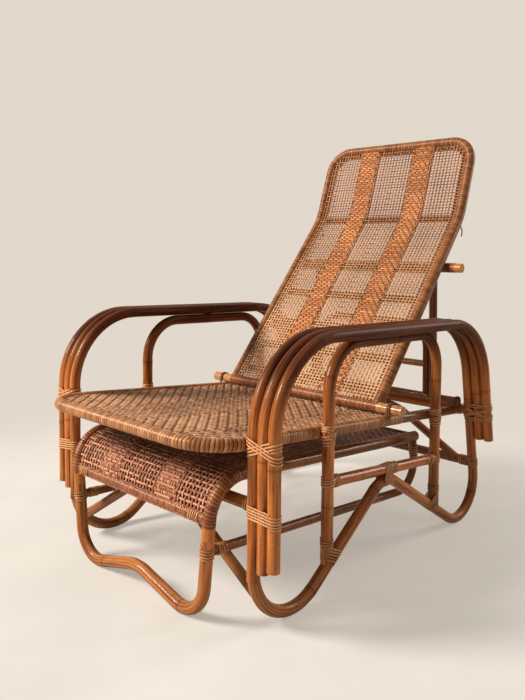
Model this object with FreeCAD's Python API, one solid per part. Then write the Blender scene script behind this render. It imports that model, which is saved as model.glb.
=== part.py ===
"""Rattan reclining lounge chair with a pull-out footrest, modelled in millimetres.

X is the width, -Y the front, +Z up. The chair stands on Z = 0 and is centred on the origin.
Poles are swept along straight runs and arcs, and each one is coped where it meets another.
"""

import FreeCAD
import Part
import math
import os

V = FreeCAD.Vector

# Driving dimensions: pole sizes
POLE_R = 12.6           # hoops and arm poles
ARCH_R = 12.9           # inverted U under each arm
STRETCHER_R = 12.3      # side stretchers
RAIL_R = 12.5           # cross rails of the frame
BRACE_R = 11.0          # bent braces under the seat
SEAT_R = 13.2           # seat frame, with its cane wrapping
CLEAR = 0.3             # gap left between two poles that are lashed together

# Driving dimensions: whole chair
CHAIR_WIDTH = 741.2     # over the outer arm poles
BACK_TOP_Z = 1034.8     # centre of the pole along the backrest's top
FLOOR_SPAN = 4000.0     # block that trims the feet, larger than any chair

# Driving dimensions: side hoops
FRONT_Y = -345.0        # upright front of a hoop
ARM_FRONT_Z = 558.6     # arm line where it would meet the upright
ARM_SLOPE = 0.0242      # drop of the arm towards the back
ARM_FRONT_BEND = 172.0
ARM_REAR_BEND = 174.0
FRONT_FOOT_R = 113.0    # bend of the front foot, on the pole's centre line
REAR_FOOT_R = 90.0
REAR_FOOT_Y = 431.0
REAR_RAKE = 10.5        # degrees that the rear leg leans forward
HUMP_Y = 86.0           # top of the hump between the feet
HUMP_R = 76.0
SCARF_Z = 105.0         # joint where the two ends of a hoop meet
SCARF_GAP = 0.4
FOOT_FLAT = 0.8         # wear flat under each foot
MIDDLE_CUT_Z = 128.0    # lower front ends of the two outer arm poles
OUTER_CUT_Z = 138.0
REAR_CUT_Z = 218.0

# Driving dimensions: inner arches, stretchers and cross rails
FRONT_POST_Y = -125.5
REAR_POST_Y = 307.0
ARCH_FRONT_BEND = 97.0
ARCH_REAR_BEND = 86.0
STRETCHER_FRONT_Z = 240.0
STRETCHER_REAR_Z = 200.0
FRONT_RAIL_Z = 235.5
RAIL_OVERHANG = 9.0     # front rail past the middle of the upright
REAR_RAIL_Z = 145.0
FRONT_BRACE_FOOT_Z = 68.0
FRONT_BRACE_TOP_X = 57.0
REAR_BRACE_INSET = 45.0 # foot of the rear brace inside the hoop's middle
REAR_BRACE_TOP_X = 72.0
BRACE_BEND = 120.0

# Driving dimensions: seat
SEAT_FRONT_Y = -440.0
SEAT_FRONT_Z = 367.0
SEAT_SLOPE = 0.0796
SEAT_CORNER_R = 94.0
SEAT_PANEL_END_Y = 168.0
PANEL_T = 4.0
SEAT_PANEL_LIFT = 6.0   # panel's middle above the frame's centre line
SEAT_REAR_RAIL_R = 10.0

# Driving dimensions: backrest
PIVOT_Y = 135.7
PIVOT_BAR_R = 13.0
PEG_R = 12.5
PEG_OVER = 49.0         # peg past the middle of the seat frame's side
SHOULDER_GAP = 13.7     # bar's shoulder to the loop that holds its peg
BACK_INSET = 35.0       # side pole of the backrest inside the seat frame's
BACK_R = 13.0
BACK_RECLINE = 39.2     # degrees from upright, below the bend
HEAD_RECLINE = 18.1     # degrees from upright, above the bend
HEAD_LENGTH = 231.5     # part of the backrest above its bend
BACK_BEND = 200.0
BACK_CORNER_R = 66.6
BACK_PANEL_LIFT = 6.0
BACK_RAIL_R = 7.0
BACK_RAIL_SHARES = (0.08, 0.216, 0.356, 0.529, 0.701, 1.0)
STRIPE_INNER_X = 55.0   # dense stripes of the weave, from the middle
STRIPE_OUTER_X = 133.0
OPENINGS_ACROSS = 4     # openings across each open pane of the weave
OPENING_PITCH = 30.0    # openings up the backrest
OPENING_BAR = 9.0       # weave left between two openings
INNER_LATH_R = 6.0      # thin pole inside the frame that the weave is sewn to
HOOK_WIRE_R = 1.6

# Driving dimensions: prop behind the backrest
PROP_Y = 456.0
PROP_PEG_OVER = 11.5
PROP_BAR_R = 10.0
PROP_LEG_INSET = 46.0   # leg inside the backrest's side pole
PROP_LEG_SPLAY = 12.0   # legs stand wider at the foot than at the top bar
PROP_LEG_R = 11.0
PROP_TOP_R = 13.0
PROP_TOP_OVER = 53.0    # top bar past the backrest's side pole
PROP_TOP_DROP = 155.5   # top bar below the bend of the backrest
PROP_LEG_OVER = 18.0    # leg above the top bar
PROP_ARCH_R = 9.5
PROP_ARCH_TOP_Z = 520.0
PROP_ARCH_BEND = 71.0
PROP_RAIL_Z = 408.0
PROP_RAIL_R = 9.0
HOOK_DROP = 30.5        # hooks below the bend of the backrest

# Driving dimensions: footrest
LEG_Y = -384.0
FOOT_POLE_R = 13.0
FOOT_INSET = 64.0       # rear end of a side pole inside the hoop's middle
FOOT_SPLAY = 7.0        # side poles stand closer together at the front
FOOT_TOP_Z = 289.6
FOOT_REAR_Z = 242.0
FOOT_REAR_Y = 318.0
FOOT_BEND = 75.0
WAVE_FOOT_INSET = 88.0  # middle of each foot's bend inside the leg's top
WAVE_FOOT_R = 66.5
WAVE_HUMP_Z = 46.4
WAVE_HUMP_R = 112.0
EDGE_RAIL_Z = 209.0
EDGE_RAIL_R = 10.0
FOOT_RAIL_INSET = 15.0  # rear rail in front of the side poles' ends
RUNNER_R = 10.0
RUNNER_FRONT_Z = 145.0
RUNNER_REAR_Z = 106.0
RUNNER_REAR_Y = 333.0
RUNNER_BEND = 65.0
FOOT_PANEL_LIFT = 5.0

# Driving dimensions: lashings and loops
LASH_T = 2.4
LOOP_T = 3.0
LOOP_W = 9.0
LASH_TALL = 40.0
LASH_LOW = 30.0
LASH_RING = 24.0
LASH_SLACK = 1.0        # room inside a tie round the bend of a pole

# Values that follow from the driving dimensions
ARM_PITCH = 2 * POLE_R + CLEAR
HOOP_X = CHAIR_WIDTH / 2 - POLE_R - 2 * ARM_PITCH
SEAT_X = HOOP_X - POLE_R - SEAT_R - CLEAR
FRONT_RAIL_Y = FRONT_Y + POLE_R + RAIL_R + CLEAR
BACK_X = SEAT_X - BACK_INSET
PEG_END_X = SEAT_X + PEG_OVER
BAR_SHOULDER_X = SEAT_X - LOOP_W / 2 - SHOULDER_GAP
PROP_PEG_X = SEAT_X + PROP_PEG_OVER
PROP_LEG_X = BACK_X - PROP_LEG_INSET
PROP_TOP_X = BACK_X + PROP_TOP_OVER
FOOT_REAR_X = HOOP_X - FOOT_INSET
FOOT_SIDE_X = FOOT_REAR_X - FOOT_SPLAY
WAVE_FOOT_X = FOOT_SIDE_X - WAVE_FOOT_INSET
REAR_BRACE_FOOT_X = HOOP_X - REAR_BRACE_INSET
RAKE = math.radians(REAR_RAKE)


def seat_z(y):
    """Height of the seat frame's centre line."""
    return SEAT_FRONT_Z - SEAT_SLOPE * (y - SEAT_FRONT_Y)


def stretcher_z(y):
    """Height of a side stretcher's centre line."""
    share = (y - FRONT_POST_Y) / (REAR_POST_Y - FRONT_POST_Y)
    return STRETCHER_FRONT_Z + share * (STRETCHER_REAR_Z - STRETCHER_FRONT_Z)


def arm_z(y):
    """Height of the arm poles' centre line."""
    return ARM_FRONT_Z - ARM_SLOPE * (y - FRONT_Y)


class Pole:
    """A round pole along a route of straight runs, with an arc of its own radius at each inner point."""

    def __init__(self, points, bends, radius):
        self.points = points
        self.bends = bends
        self.radius = radius

    def edges(self):
        made = []
        here = self.points[0]
        for corner, after, bend in zip(self.points[1:-1], self.points[2:], self.bends):
            to_here = (here - corner).normalize()
            to_after = (after - corner).normalize()
            half = to_here.getAngle(to_after) / 2
            reach = bend / math.tan(half)
            enter = corner + to_here * reach
            leave = corner + to_after * reach
            inward = (to_here + to_after).normalize()
            middle = corner + inward * (bend / math.sin(half) - bend)
            made.append(Part.LineSegment(here, enter).toShape())
            made.append(Part.Arc(enter, middle, leave).toShape())
            here = leave
        made.append(Part.LineSegment(here, self.points[-1]).toShape())
        return made

    def solid(self, extra=0.0):
        path = self.edges()
        along = path[0].tangentAt(path[0].FirstParameter)
        ring = Part.Wire(Part.makeCircle(self.radius + extra, self.points[0], along))
        return Part.Wire(path).makePipeShell([ring], True, False)


def coped(shape, *others):
    """A shape cut back from the poles that it meets, as a pole's end is notched to seat on another."""
    for other in others:
        shape = shape.cut(other.solid(CLEAR))
    return max(shape.Solids, key=lambda solid: solid.Volume)


def inner_tangent(centre_a, radius_a, centre_b, radius_b, turn):
    """Direction of the line that crosses between two circles of one plane, leaving the first one's turn side."""
    across = (centre_b[0] - centre_a[0], centre_b[1] - centre_a[1])
    lean = math.asin((radius_a + radius_b) / math.hypot(*across))
    angle = math.atan2(across[1], across[0]) + turn * lean
    direction = (math.cos(angle), math.sin(angle))
    touch = (
        centre_a[0] + turn * radius_a * direction[1],
        centre_a[1] - turn * radius_a * direction[0],
    )
    return touch, direction


def meet(line_a, line_b):
    """Point where two lines of one plane cross, each given as a point and a direction."""
    (ax, ay), (ux, uy) = line_a
    (bx, by), (wx, wy) = line_b
    along = ((bx - ax) * wy - (by - ay) * wx) / (ux * wy - uy * wx)
    return ax + along * ux, ay + along * uy


# Side frames

FOOT_Z = POLE_R - FOOT_FLAT
HUMP_Z = stretcher_z(HUMP_Y) - (POLE_R + STRETCHER_R + 2 * CLEAR)
FRONT_FOOT = (FRONT_Y + FRONT_FOOT_R, FOOT_Z + FRONT_FOOT_R)
HUMP = (HUMP_Y, HUMP_Z - HUMP_R)
REAR_FOOT = (REAR_FOOT_Y, FOOT_Z + REAR_FOOT_R)
UPRIGHT = ((FRONT_Y, 0.0), (0.0, 1.0))
ARM_LINE = ((FRONT_Y, ARM_FRONT_Z), (1.0, -ARM_SLOPE))
REAR_LEG = (
    (REAR_FOOT[0] + REAR_FOOT_R * math.cos(RAKE), REAR_FOOT[1] + REAR_FOOT_R * math.sin(RAKE)),
    (-math.sin(RAKE), math.cos(RAKE)),
)
RISE = inner_tangent(FRONT_FOOT, FRONT_FOOT_R, HUMP, HUMP_R, 1)
FALL = inner_tangent(HUMP, HUMP_R, REAR_FOOT, REAR_FOOT_R, -1)


def rear_leg_y(z):
    """Place of the rear leg's centre line at a height."""
    (y, base), (lean, up) = REAR_LEG
    return y + (z - base) * lean / up


def in_side(x, places):
    """Points of a side plane, given as pairs of Y and Z."""
    return [V(x, y, z) for y, z in places]


def side_hoop(side):
    """Inner pole of a side: front foot, hump, rear foot, rear leg, arm and upright in one length."""
    places = [
        (FRONT_Y, SCARF_Z - SCARF_GAP),
        meet(UPRIGHT, RISE),
        meet(RISE, FALL),
        meet(FALL, REAR_LEG),
        meet(REAR_LEG, ARM_LINE),
        meet(ARM_LINE, UPRIGHT),
        (FRONT_Y, SCARF_Z),
    ]
    bends = [FRONT_FOOT_R, HUMP_R, REAR_FOOT_R, ARM_REAR_BEND, ARM_FRONT_BEND]
    return Pole(in_side(side * HOOP_X, places), bends, POLE_R)


def arm_pole(side, count, front_cut):
    """One of the two shorter poles that lie outside the hoop and widen the arm."""
    places = [
        (FRONT_Y, front_cut),
        meet(UPRIGHT, ARM_LINE),
        meet(ARM_LINE, REAR_LEG),
        (rear_leg_y(REAR_CUT_Z), REAR_CUT_Z),
    ]
    x = side * (HOOP_X + count * ARM_PITCH)
    return Pole(in_side(x, places), [ARM_FRONT_BEND, ARM_REAR_BEND], POLE_R)


def inner_arch(side):
    """Inverted U that carries the arm: two posts and a top that lies along the hoop's underside."""
    drop = (POLE_R + ARCH_R + CLEAR) * math.hypot(1.0, ARM_SLOPE)
    places = [
        (FRONT_POST_Y, FOOT_Z),
        (FRONT_POST_Y, arm_z(FRONT_POST_Y) - drop),
        (REAR_POST_Y, arm_z(REAR_POST_Y) - drop),
        (REAR_POST_Y, FOOT_Z),
    ]
    return Pole(in_side(side * HOOP_X, places), [ARCH_FRONT_BEND, ARCH_REAR_BEND], ARCH_R)


def side_stretcher(side):
    """Straight pole between the two posts, above the hump."""
    places = [(FRONT_POST_Y, STRETCHER_FRONT_Z), (REAR_POST_Y, STRETCHER_REAR_Z)]
    return Pole(in_side(side * HOOP_X, places), [], STRETCHER_R)


def across(y, z, half, radius):
    """Straight pole from side to side."""
    return Pole([V(-half, y, z), V(half, y, z)], [], radius)


def brace(foot, top, bend):
    """Bent brace from side to side, with its two feet and its flat top mirrored."""
    points = [V(-foot.x, foot.y, foot.z), V(-top.x, top.y, top.z), top, foot]
    return Pole(points, [bend, bend], BRACE_R)


SIDES = {"left": 1, "right": -1}
hoops = {name: side_hoop(side) for name, side in SIDES.items()}
arches = {name: inner_arch(side) for name, side in SIDES.items()}
stretchers = {name: side_stretcher(side) for name, side in SIDES.items()}
middle_poles = {name: arm_pole(side, 1, MIDDLE_CUT_Z) for name, side in SIDES.items()}
outer_poles = {name: arm_pole(side, 2, OUTER_CUT_Z) for name, side in SIDES.items()}

rear_seat_z = seat_z(rear_leg_y(SEAT_FRONT_Z - SEAT_SLOPE * (REAR_FOOT_Y - SEAT_FRONT_Y)))
front_rail = across(FRONT_RAIL_Y, FRONT_RAIL_Z, HOOP_X + RAIL_OVERHANG, RAIL_R)
rear_seat_rail = across(rear_leg_y(rear_seat_z), rear_seat_z, HOOP_X, RAIL_R)
rear_low_rail = across(rear_leg_y(REAR_RAIL_Z), REAR_RAIL_Z, HOOP_X, RAIL_R)

brace_drop = RAIL_R + BRACE_R + CLEAR
front_brace = brace(
    V(HOOP_X - POLE_R, FRONT_RAIL_Y, FRONT_BRACE_FOOT_Z - POLE_R / 2),
    V(FRONT_BRACE_TOP_X, FRONT_RAIL_Y, FRONT_RAIL_Z - brace_drop),
    BRACE_BEND,
)
rear_brace = brace(
    V(REAR_BRACE_FOOT_X, rear_leg_y(REAR_RAIL_Z), REAR_RAIL_Z),
    V(REAR_BRACE_TOP_X, rear_leg_y(rear_seat_z - brace_drop), rear_seat_z - brace_drop),
    BRACE_BEND,
)

FLOOR = Part.makeBox(
    FLOOR_SPAN, FLOOR_SPAN, FLOOR_SPAN, V(-FLOOR_SPAN / 2, -FLOOR_SPAN / 2, -FLOOR_SPAN)
)
parts = {}
for name in SIDES:
    hoop, arch = hoops[name], arches[name]
    parts[f"side_hoop_{name}"] = hoop.solid().cut(FLOOR)
    parts[f"arm_pole_middle_{name}"] = middle_poles[name].solid()
    parts[f"arm_pole_outer_{name}"] = outer_poles[name].solid()
    parts[f"inner_arch_{name}"] = coped(arch.solid(), hoop)
    parts[f"side_stretcher_{name}"] = coped(stretchers[name].solid(), arch)

both_hoops = list(hoops.values())
parts["front_cross_rail"] = front_rail.solid()
parts["front_brace"] = coped(front_brace.solid(), *both_hoops)
parts["rear_seat_rail"] = coped(rear_seat_rail.solid(), *both_hoops)
parts["rear_low_rail"] = coped(rear_low_rail.solid(), *both_hoops)
parts["rear_brace"] = coped(rear_brace.solid(), rear_low_rail)

# Seat

SEAT_LEAN = math.atan(SEAT_SLOPE)


def on_seat(x, y, lift=0.0):
    """Point above the seat frame's centre plane, square to it."""
    return V(x, y + lift * math.sin(SEAT_LEAN), seat_z(y) + lift * math.cos(SEAT_LEAN))


seat_rear_y = rear_leg_y(rear_seat_z)
seat_frame = Pole(
    [
        on_seat(-SEAT_X, seat_rear_y),
        on_seat(-SEAT_X, SEAT_FRONT_Y),
        on_seat(SEAT_X, SEAT_FRONT_Y),
        on_seat(SEAT_X, seat_rear_y),
    ],
    [SEAT_CORNER_R, SEAT_CORNER_R],
    SEAT_R,
)
seat_rear_rail = Pole(
    [on_seat(-SEAT_X, SEAT_PANEL_END_Y, -CLEAR), on_seat(SEAT_X, SEAT_PANEL_END_Y, -CLEAR)],
    [],
    SEAT_REAR_RAIL_R,
)
SEAT_UP = V(0, math.sin(SEAT_LEAN), math.cos(SEAT_LEAN))
panel_low = SEAT_PANEL_LIFT - PANEL_T / 2
seat_face = Part.Face(
    Part.makePolygon(
        [
            on_seat(x, y, panel_low)
            for x, y in (
                (-SEAT_X, SEAT_FRONT_Y),
                (SEAT_X, SEAT_FRONT_Y),
                (SEAT_X, SEAT_PANEL_END_Y),
                (-SEAT_X, SEAT_PANEL_END_Y),
                (-SEAT_X, SEAT_FRONT_Y),
            )
        ]
    )
)
parts["seat_frame"] = coped(seat_frame.solid(), rear_seat_rail)
parts["seat_rear_rail"] = coped(seat_rear_rail.solid(), seat_frame)
parts["seat_panel"] = coped(seat_face.extrude(SEAT_UP * PANEL_T), seat_frame, seat_rear_rail)

# Backrest, in a plane of its own: steps run up the backrest from the pivot, depths run to the rear

PIVOT = on_seat(0, PIVOT_Y, SEAT_R + PEG_R + CLEAR)
LOWER_LEAN = math.radians(BACK_RECLINE)
UPPER_LEAN = math.radians(HEAD_RECLINE)
UP_BACK = V(0, math.sin(LOWER_LEAN), math.cos(LOWER_LEAN))
BEHIND_BACK = V(0, math.cos(LOWER_LEAN), -math.sin(LOWER_LEAN))
UP_HEAD = V(0, math.sin(UPPER_LEAN), math.cos(UPPER_LEAN))
BEHIND_HEAD = V(0, math.cos(UPPER_LEAN), -math.sin(UPPER_LEAN))
BACK_LOWER = (BACK_TOP_Z - PIVOT.z - HEAD_LENGTH * math.cos(UPPER_LEAN)) / math.cos(LOWER_LEAN)


def on_back(x, step, depth=0.0):
    """Point of the backrest below its bend."""
    return PIVOT + UP_BACK * step + BEHIND_BACK * depth + V(x, 0, 0)


def on_head(x, step, depth=0.0):
    """Point of the backrest above its bend."""
    return on_back(x, BACK_LOWER) + UP_HEAD * step + BEHIND_HEAD * depth


def stepped_bar(centre, half, shoulder, radius, peg_radius):
    """Round bar with a thinner peg turned at each end."""
    bar = across(centre.y, centre.z, shoulder, radius).solid()
    pegs = across(centre.y, centre.z, half, peg_radius).solid()
    return bar.fuse(pegs).removeSplitter()


def back_loop(inset, depth, radius):
    """Pole that runs up one side of the backrest, over its top and down the other side."""
    x = BACK_X - inset
    points = [
        on_back(-x, 0, depth),
        on_back(-x, BACK_LOWER, depth),
        on_head(-x, HEAD_LENGTH - inset, depth),
        on_head(x, HEAD_LENGTH - inset, depth),
        on_back(x, BACK_LOWER, depth),
        on_back(x, 0, depth),
    ]
    corner = BACK_CORNER_R - inset
    return Pole(points, [BACK_BEND, corner, corner, BACK_BEND], radius)


back_frame = back_loop(0, 0, BACK_R)
pivot_bar = across(PIVOT.y, PIVOT.z, BAR_SHOULDER_X, PIVOT_BAR_R)
parts["back_pivot_bar"] = stepped_bar(PIVOT, PEG_END_X, BAR_SHOULDER_X, PIVOT_BAR_R, PEG_R)
parts["back_frame"] = coped(back_frame.solid(), pivot_bar)

panel_back = BACK_PANEL_LIFT - PANEL_T / 2 - CLEAR
inner_lath = back_loop(BACK_R + INNER_LATH_R + CLEAR, INNER_LATH_R - panel_back, INNER_LATH_R)
parts["back_inner_lath"] = coped(inner_lath.solid(), pivot_bar)

rail_depth = BACK_RAIL_R - panel_back
rail_half = BACK_X - BACK_R - INNER_LATH_R - CLEAR
back_rails = [
    Pole([on_back(-rail_half, step, rail_depth), on_back(rail_half, step, rail_depth)], [], BACK_RAIL_R)
    for step in (share * BACK_LOWER for share in BACK_RAIL_SHARES)
]
for number, rail in enumerate(back_rails, 1):
    parts[f"back_rail_{number}"] = coped(rail.solid(), inner_lath)


def bent_panel(rows, bends, half):
    """Thin panel that follows a bent line, as wide as the frame that it fills."""
    line = Pole([V(-half, row.y, row.z) for row in rows], bends, PANEL_T / 2)
    edges = line.edges()
    along = edges[0].tangentAt(edges[0].FirstParameter)
    square = along.cross(V(1, 0, 0)).normalize()
    start = rows[0] - V(half, 0, 0)
    corners = [
        start + square * (PANEL_T / 2),
        start + square * (PANEL_T / 2) + V(2 * half, 0, 0),
        start - square * (PANEL_T / 2) + V(2 * half, 0, 0),
        start - square * (PANEL_T / 2),
        start + square * (PANEL_T / 2),
    ]
    return Part.Wire(edges).makePipeShell([Part.makePolygon(corners)], True, False)


back_rows = [
    on_back(0, 0, -BACK_PANEL_LIFT),
    on_back(0, BACK_LOWER, -BACK_PANEL_LIFT),
    on_head(0, HEAD_LENGTH, -BACK_PANEL_LIFT),
]
back_sheet = bent_panel(back_rows, [BACK_BEND - BACK_PANEL_LIFT], BACK_X)


def pane_openings(place, start_x, end_x, start_step, end_step):
    """Blocks that open one pane of the weave in an even grid, leaving a bar round each opening."""
    wide = (end_x - start_x) / OPENINGS_ACROSS
    rows = max(1, round((end_step - start_step) / OPENING_PITCH))
    tall = (end_step - start_step) / rows
    front, behind = -BACK_PANEL_LIFT - PANEL_T, place(0, 0, PANEL_T) - place(0, 0, -PANEL_T)
    blocks = []
    for row in range(rows):
        low = start_step + row * tall + OPENING_BAR / 2
        high = low + tall - OPENING_BAR
        for column in range(OPENINGS_ACROSS):
            left = start_x + column * wide + OPENING_BAR / 2
            edge = left + wide - OPENING_BAR
            corners = [(left, low), (edge, low), (edge, high), (left, high), (left, low)]
            outline = Part.makePolygon([place(x, step, front) for x, step in corners])
            blocks.append(Part.Face(outline).extrude(behind))
    return blocks


lath_edge_x = rail_half - INNER_LATH_R
panes_x = [
    (-lath_edge_x, -STRIPE_OUTER_X),
    (-STRIPE_INNER_X, STRIPE_INNER_X),
    (STRIPE_OUTER_X, lath_edge_x),
]
bend_reach = BACK_BEND * math.tan((LOWER_LEAN - UPPER_LEAN) / 2)
rail_steps = [0, *(share * BACK_LOWER for share in BACK_RAIL_SHARES)]
rail_steps[-1] -= bend_reach
openings = []
for left, edge in panes_x:
    for low, high in zip(rail_steps, rail_steps[1:]):
        openings += pane_openings(on_back, left, edge, low + PIVOT_BAR_R, high - BACK_RAIL_R)
    openings += pane_openings(on_head, left, edge, bend_reach, HEAD_LENGTH - BACK_CORNER_R)
back_sheet = coped(back_sheet, back_frame, pivot_bar, inner_lath, *back_rails)
parts["back_panel"] = back_sheet.cut(Part.makeCompound(openings))

# Prop behind the backrest: a ladder-like frame whose top bar the backrest leans on

prop_foot = on_seat(0, PROP_Y, SEAT_R + PROP_BAR_R + CLEAR)
prop_bar = across(prop_foot.y, prop_foot.z, PROP_PEG_X, PROP_BAR_R)
top_depth = BACK_R + PROP_TOP_R + CLEAR
top_step = BACK_LOWER - PROP_TOP_DROP
prop_top = on_back(0, top_step, top_depth)
leg_y = prop_top.y + PROP_TOP_R + PROP_LEG_R + CLEAR
leg_top_z = prop_top.z + PROP_LEG_OVER
prop_arch_x = PROP_LEG_X - PROP_LEG_R - PROP_ARCH_R - CLEAR


def up_leg(x, z):
    """Point of the prop's plane at a height, along a leg that is the given distance out at its top."""
    share = (z - prop_foot.z) / (leg_top_z - prop_foot.z)
    spread = math.copysign(PROP_LEG_SPLAY * (1 - share), x)
    return V(x + spread, prop_foot.y + share * (leg_y - prop_foot.y), z)


def at_foot(x):
    """Point on the prop's foot bar, below the same point of the top."""
    return up_leg(x, prop_foot.z)


parts["prop_foot_bar"] = prop_bar.solid()
prop_top_bar = across(prop_top.y, prop_top.z, PROP_TOP_X, PROP_TOP_R)
parts["prop_top_bar"] = prop_top_bar.solid()
for name, side in SIDES.items():
    x = side * PROP_LEG_X
    leg = Pole([at_foot(x), up_leg(x, leg_top_z)], [], PROP_LEG_R)
    parts[f"prop_leg_{name}"] = coped(leg.solid(), prop_bar, prop_top_bar)
prop_arch = Pole(
    [
        at_foot(-prop_arch_x),
        up_leg(-prop_arch_x, PROP_ARCH_TOP_Z),
        up_leg(prop_arch_x, PROP_ARCH_TOP_Z),
        at_foot(prop_arch_x),
    ],
    [PROP_ARCH_BEND, PROP_ARCH_BEND],
    PROP_ARCH_R,
)
prop_rail = Pole(
    [up_leg(-prop_arch_x, PROP_RAIL_Z), up_leg(prop_arch_x, PROP_RAIL_Z)], [], PROP_RAIL_R
)
parts["prop_arch"] = coped(prop_arch.solid(), prop_bar)
parts["prop_rail"] = coped(prop_rail.solid(), prop_arch)

# Hooks of bent wire on the backrest, which catch the prop's top bar when the chair reclines

hook_reach = PROP_TOP_R + HOOK_WIRE_R + 2 * CLEAR
hook_step = BACK_LOWER - HOOK_DROP
hooks = []
for side in SIDES.values():
    x = side * BACK_X
    wire = Pole(
        [
            on_back(x, hook_step + hook_reach, 0),
            on_back(x, hook_step + hook_reach, top_depth + hook_reach),
            on_back(x, hook_step - HOOK_WIRE_R, top_depth + hook_reach),
        ],
        [hook_reach],
        HOOK_WIRE_R,
    )
    hooks.append(coped(wire.solid(), back_frame))
parts["prop_hooks"] = Part.makeCompound(hooks)

# Strap loops that hold the pegs of the backrest and of the prop down on the seat frame


def strap_loop(side, centre, radius):
    """Bent strap over a peg, with both its legs seated on the seat frame."""
    inner, outer = radius + CLEAR, radius + CLEAR + LOOP_T
    x = side * SEAT_X - LOOP_W / 2
    middle = V(x, centre.y, centre.z)
    bow = Part.makeCylinder(outer, LOOP_W, middle, V(1, 0, 0))
    legs = Part.makeBox(LOOP_W, 2 * outer, outer, middle - V(0, outer, outer))
    hole = Part.makeCylinder(inner, LOOP_W, middle, V(1, 0, 0))
    gap = Part.makeBox(LOOP_W, 2 * inner, outer, middle - V(0, inner, outer))
    return bow.fuse(legs).cut(hole).cut(gap).cut(seat_frame.solid(CLEAR)).removeSplitter()


for title, centre, radius in (("back", PIVOT, PEG_R), ("prop", prop_foot, PROP_BAR_R)):
    loops = [strap_loop(side, centre, radius) for side in SIDES.values()]
    parts[f"{title}_pivot_loops"] = Part.makeCompound(loops)

# Footrest: one pole makes both side rails, both legs and the wavy floor rail

WAVE_FOOT_Z = FOOT_POLE_R - FOOT_FLAT + WAVE_FOOT_R
WAVE_FOOT = (WAVE_FOOT_X, WAVE_FOOT_Z)
WAVE_HUMP = (0.0, WAVE_HUMP_Z - WAVE_HUMP_R)
LEG_TOP = (FOOT_SIDE_X, FOOT_TOP_Z)


def leg_line():
    """Line from the top of a leg, touching the outside of its foot's bend."""
    across_x, across_z = WAVE_FOOT[0] - LEG_TOP[0], WAVE_FOOT[1] - LEG_TOP[1]
    lean = math.asin(WAVE_FOOT_R / math.hypot(across_x, across_z))
    angle = math.atan2(across_z, across_x) + lean
    return LEG_TOP, (math.cos(angle), math.sin(angle))


WAVE_RISE = inner_tangent(WAVE_FOOT, WAVE_FOOT_R, WAVE_HUMP, WAVE_HUMP_R, -1)
foot_corner = meet(leg_line(), WAVE_RISE)
hump_top = meet(WAVE_RISE, ((0.0, 0.0), (0.0, 1.0)))


def leg_x(z):
    """Distance of a footrest leg's centre line from the middle at a height."""
    (x, top), (lean, down) = leg_line()
    return x + (z - top) * lean / down


foot_pole = Pole(
    [
        V(-FOOT_REAR_X, FOOT_REAR_Y, FOOT_REAR_Z),
        V(-FOOT_SIDE_X, LEG_Y, FOOT_TOP_Z),
        V(-foot_corner[0], LEG_Y, foot_corner[1]),
        V(0, LEG_Y, hump_top[1]),
        V(foot_corner[0], LEG_Y, foot_corner[1]),
        V(FOOT_SIDE_X, LEG_Y, FOOT_TOP_Z),
        V(FOOT_REAR_X, FOOT_REAR_Y, FOOT_REAR_Z),
    ],
    [FOOT_BEND, WAVE_FOOT_R, WAVE_HUMP_R, WAVE_FOOT_R, FOOT_BEND],
    FOOT_POLE_R,
)


def foot_top_z(y):
    """Height of the footrest's side rail behind its bend."""
    return FOOT_TOP_Z + (FOOT_REAR_Z - FOOT_TOP_Z) * (y - LEG_Y) / (FOOT_REAR_Y - LEG_Y)


edge_rail = across(LEG_Y, EDGE_RAIL_Z, leg_x(EDGE_RAIL_Z), EDGE_RAIL_R)
rear_rail_y = FOOT_REAR_Y - FOOT_RAIL_INSET
foot_rear_rail = across(rear_rail_y, foot_top_z(rear_rail_y), FOOT_REAR_X, EDGE_RAIL_R)
parts["footrest_frame"] = foot_pole.solid().cut(FLOOR)
parts["footrest_edge_rail"] = coped(edge_rail.solid(), foot_pole)
runners = {}
for name, side in SIDES.items():
    runners[name] = Pole(
        [
            V(side * leg_x(RUNNER_FRONT_Z), LEG_Y, RUNNER_FRONT_Z),
            V(side * FOOT_REAR_X, RUNNER_REAR_Y - RUNNER_R, RUNNER_REAR_Z),
            V(side * FOOT_REAR_X, RUNNER_REAR_Y - RUNNER_R - FOOT_RAIL_INSET, FOOT_REAR_Z),
        ],
        [RUNNER_BEND],
        RUNNER_R,
    )
    parts[f"footrest_runner_{name}"] = coped(runners[name].solid(), foot_pole)

parts["footrest_rear_rail"] = coped(foot_rear_rail.solid(), foot_pole, *runners.values())

foot_rows = [
    V(0, LEG_Y - FOOT_PANEL_LIFT, EDGE_RAIL_Z),
    V(0, LEG_Y - FOOT_PANEL_LIFT, FOOT_TOP_Z + FOOT_PANEL_LIFT),
    V(0, rear_rail_y, foot_top_z(rear_rail_y) + FOOT_PANEL_LIFT),
]
foot_sheet = bent_panel(foot_rows, [FOOT_BEND + FOOT_PANEL_LIFT], FOOT_REAR_X)
parts["footrest_panel"] = coped(foot_sheet, foot_pole, edge_rail, foot_rear_rail)

# Lashings of split cane, each a band round the poles that it ties


def band(start, end, axis, radius, tall):
    """Band round one pole, or round a row of poles from the start one to the end one."""
    inner, outer = radius + CLEAR, radius + CLEAR + LASH_T
    axis = V(axis).normalize()
    base, tip = start - axis * (tall / 2), end - axis * (tall / 2)
    shapes = []
    for size in (outer, inner):
        grown = Part.makeCylinder(size, tall, base, axis)
        if (end - start).Length > CLEAR:
            row = (end - start).normalize()
            side = axis.cross(row)
            corners = [base + side * size, tip + side * size, tip - side * size, base - side * size]
            slab = Part.Face(Part.makePolygon(corners + corners[:1])).extrude(axis * tall)
            grown = grown.fuse(slab).fuse(Part.makeCylinder(size, tall, tip, axis))
        shapes.append(grown)
    return shapes[0].cut(shapes[1]).removeSplitter()


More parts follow.
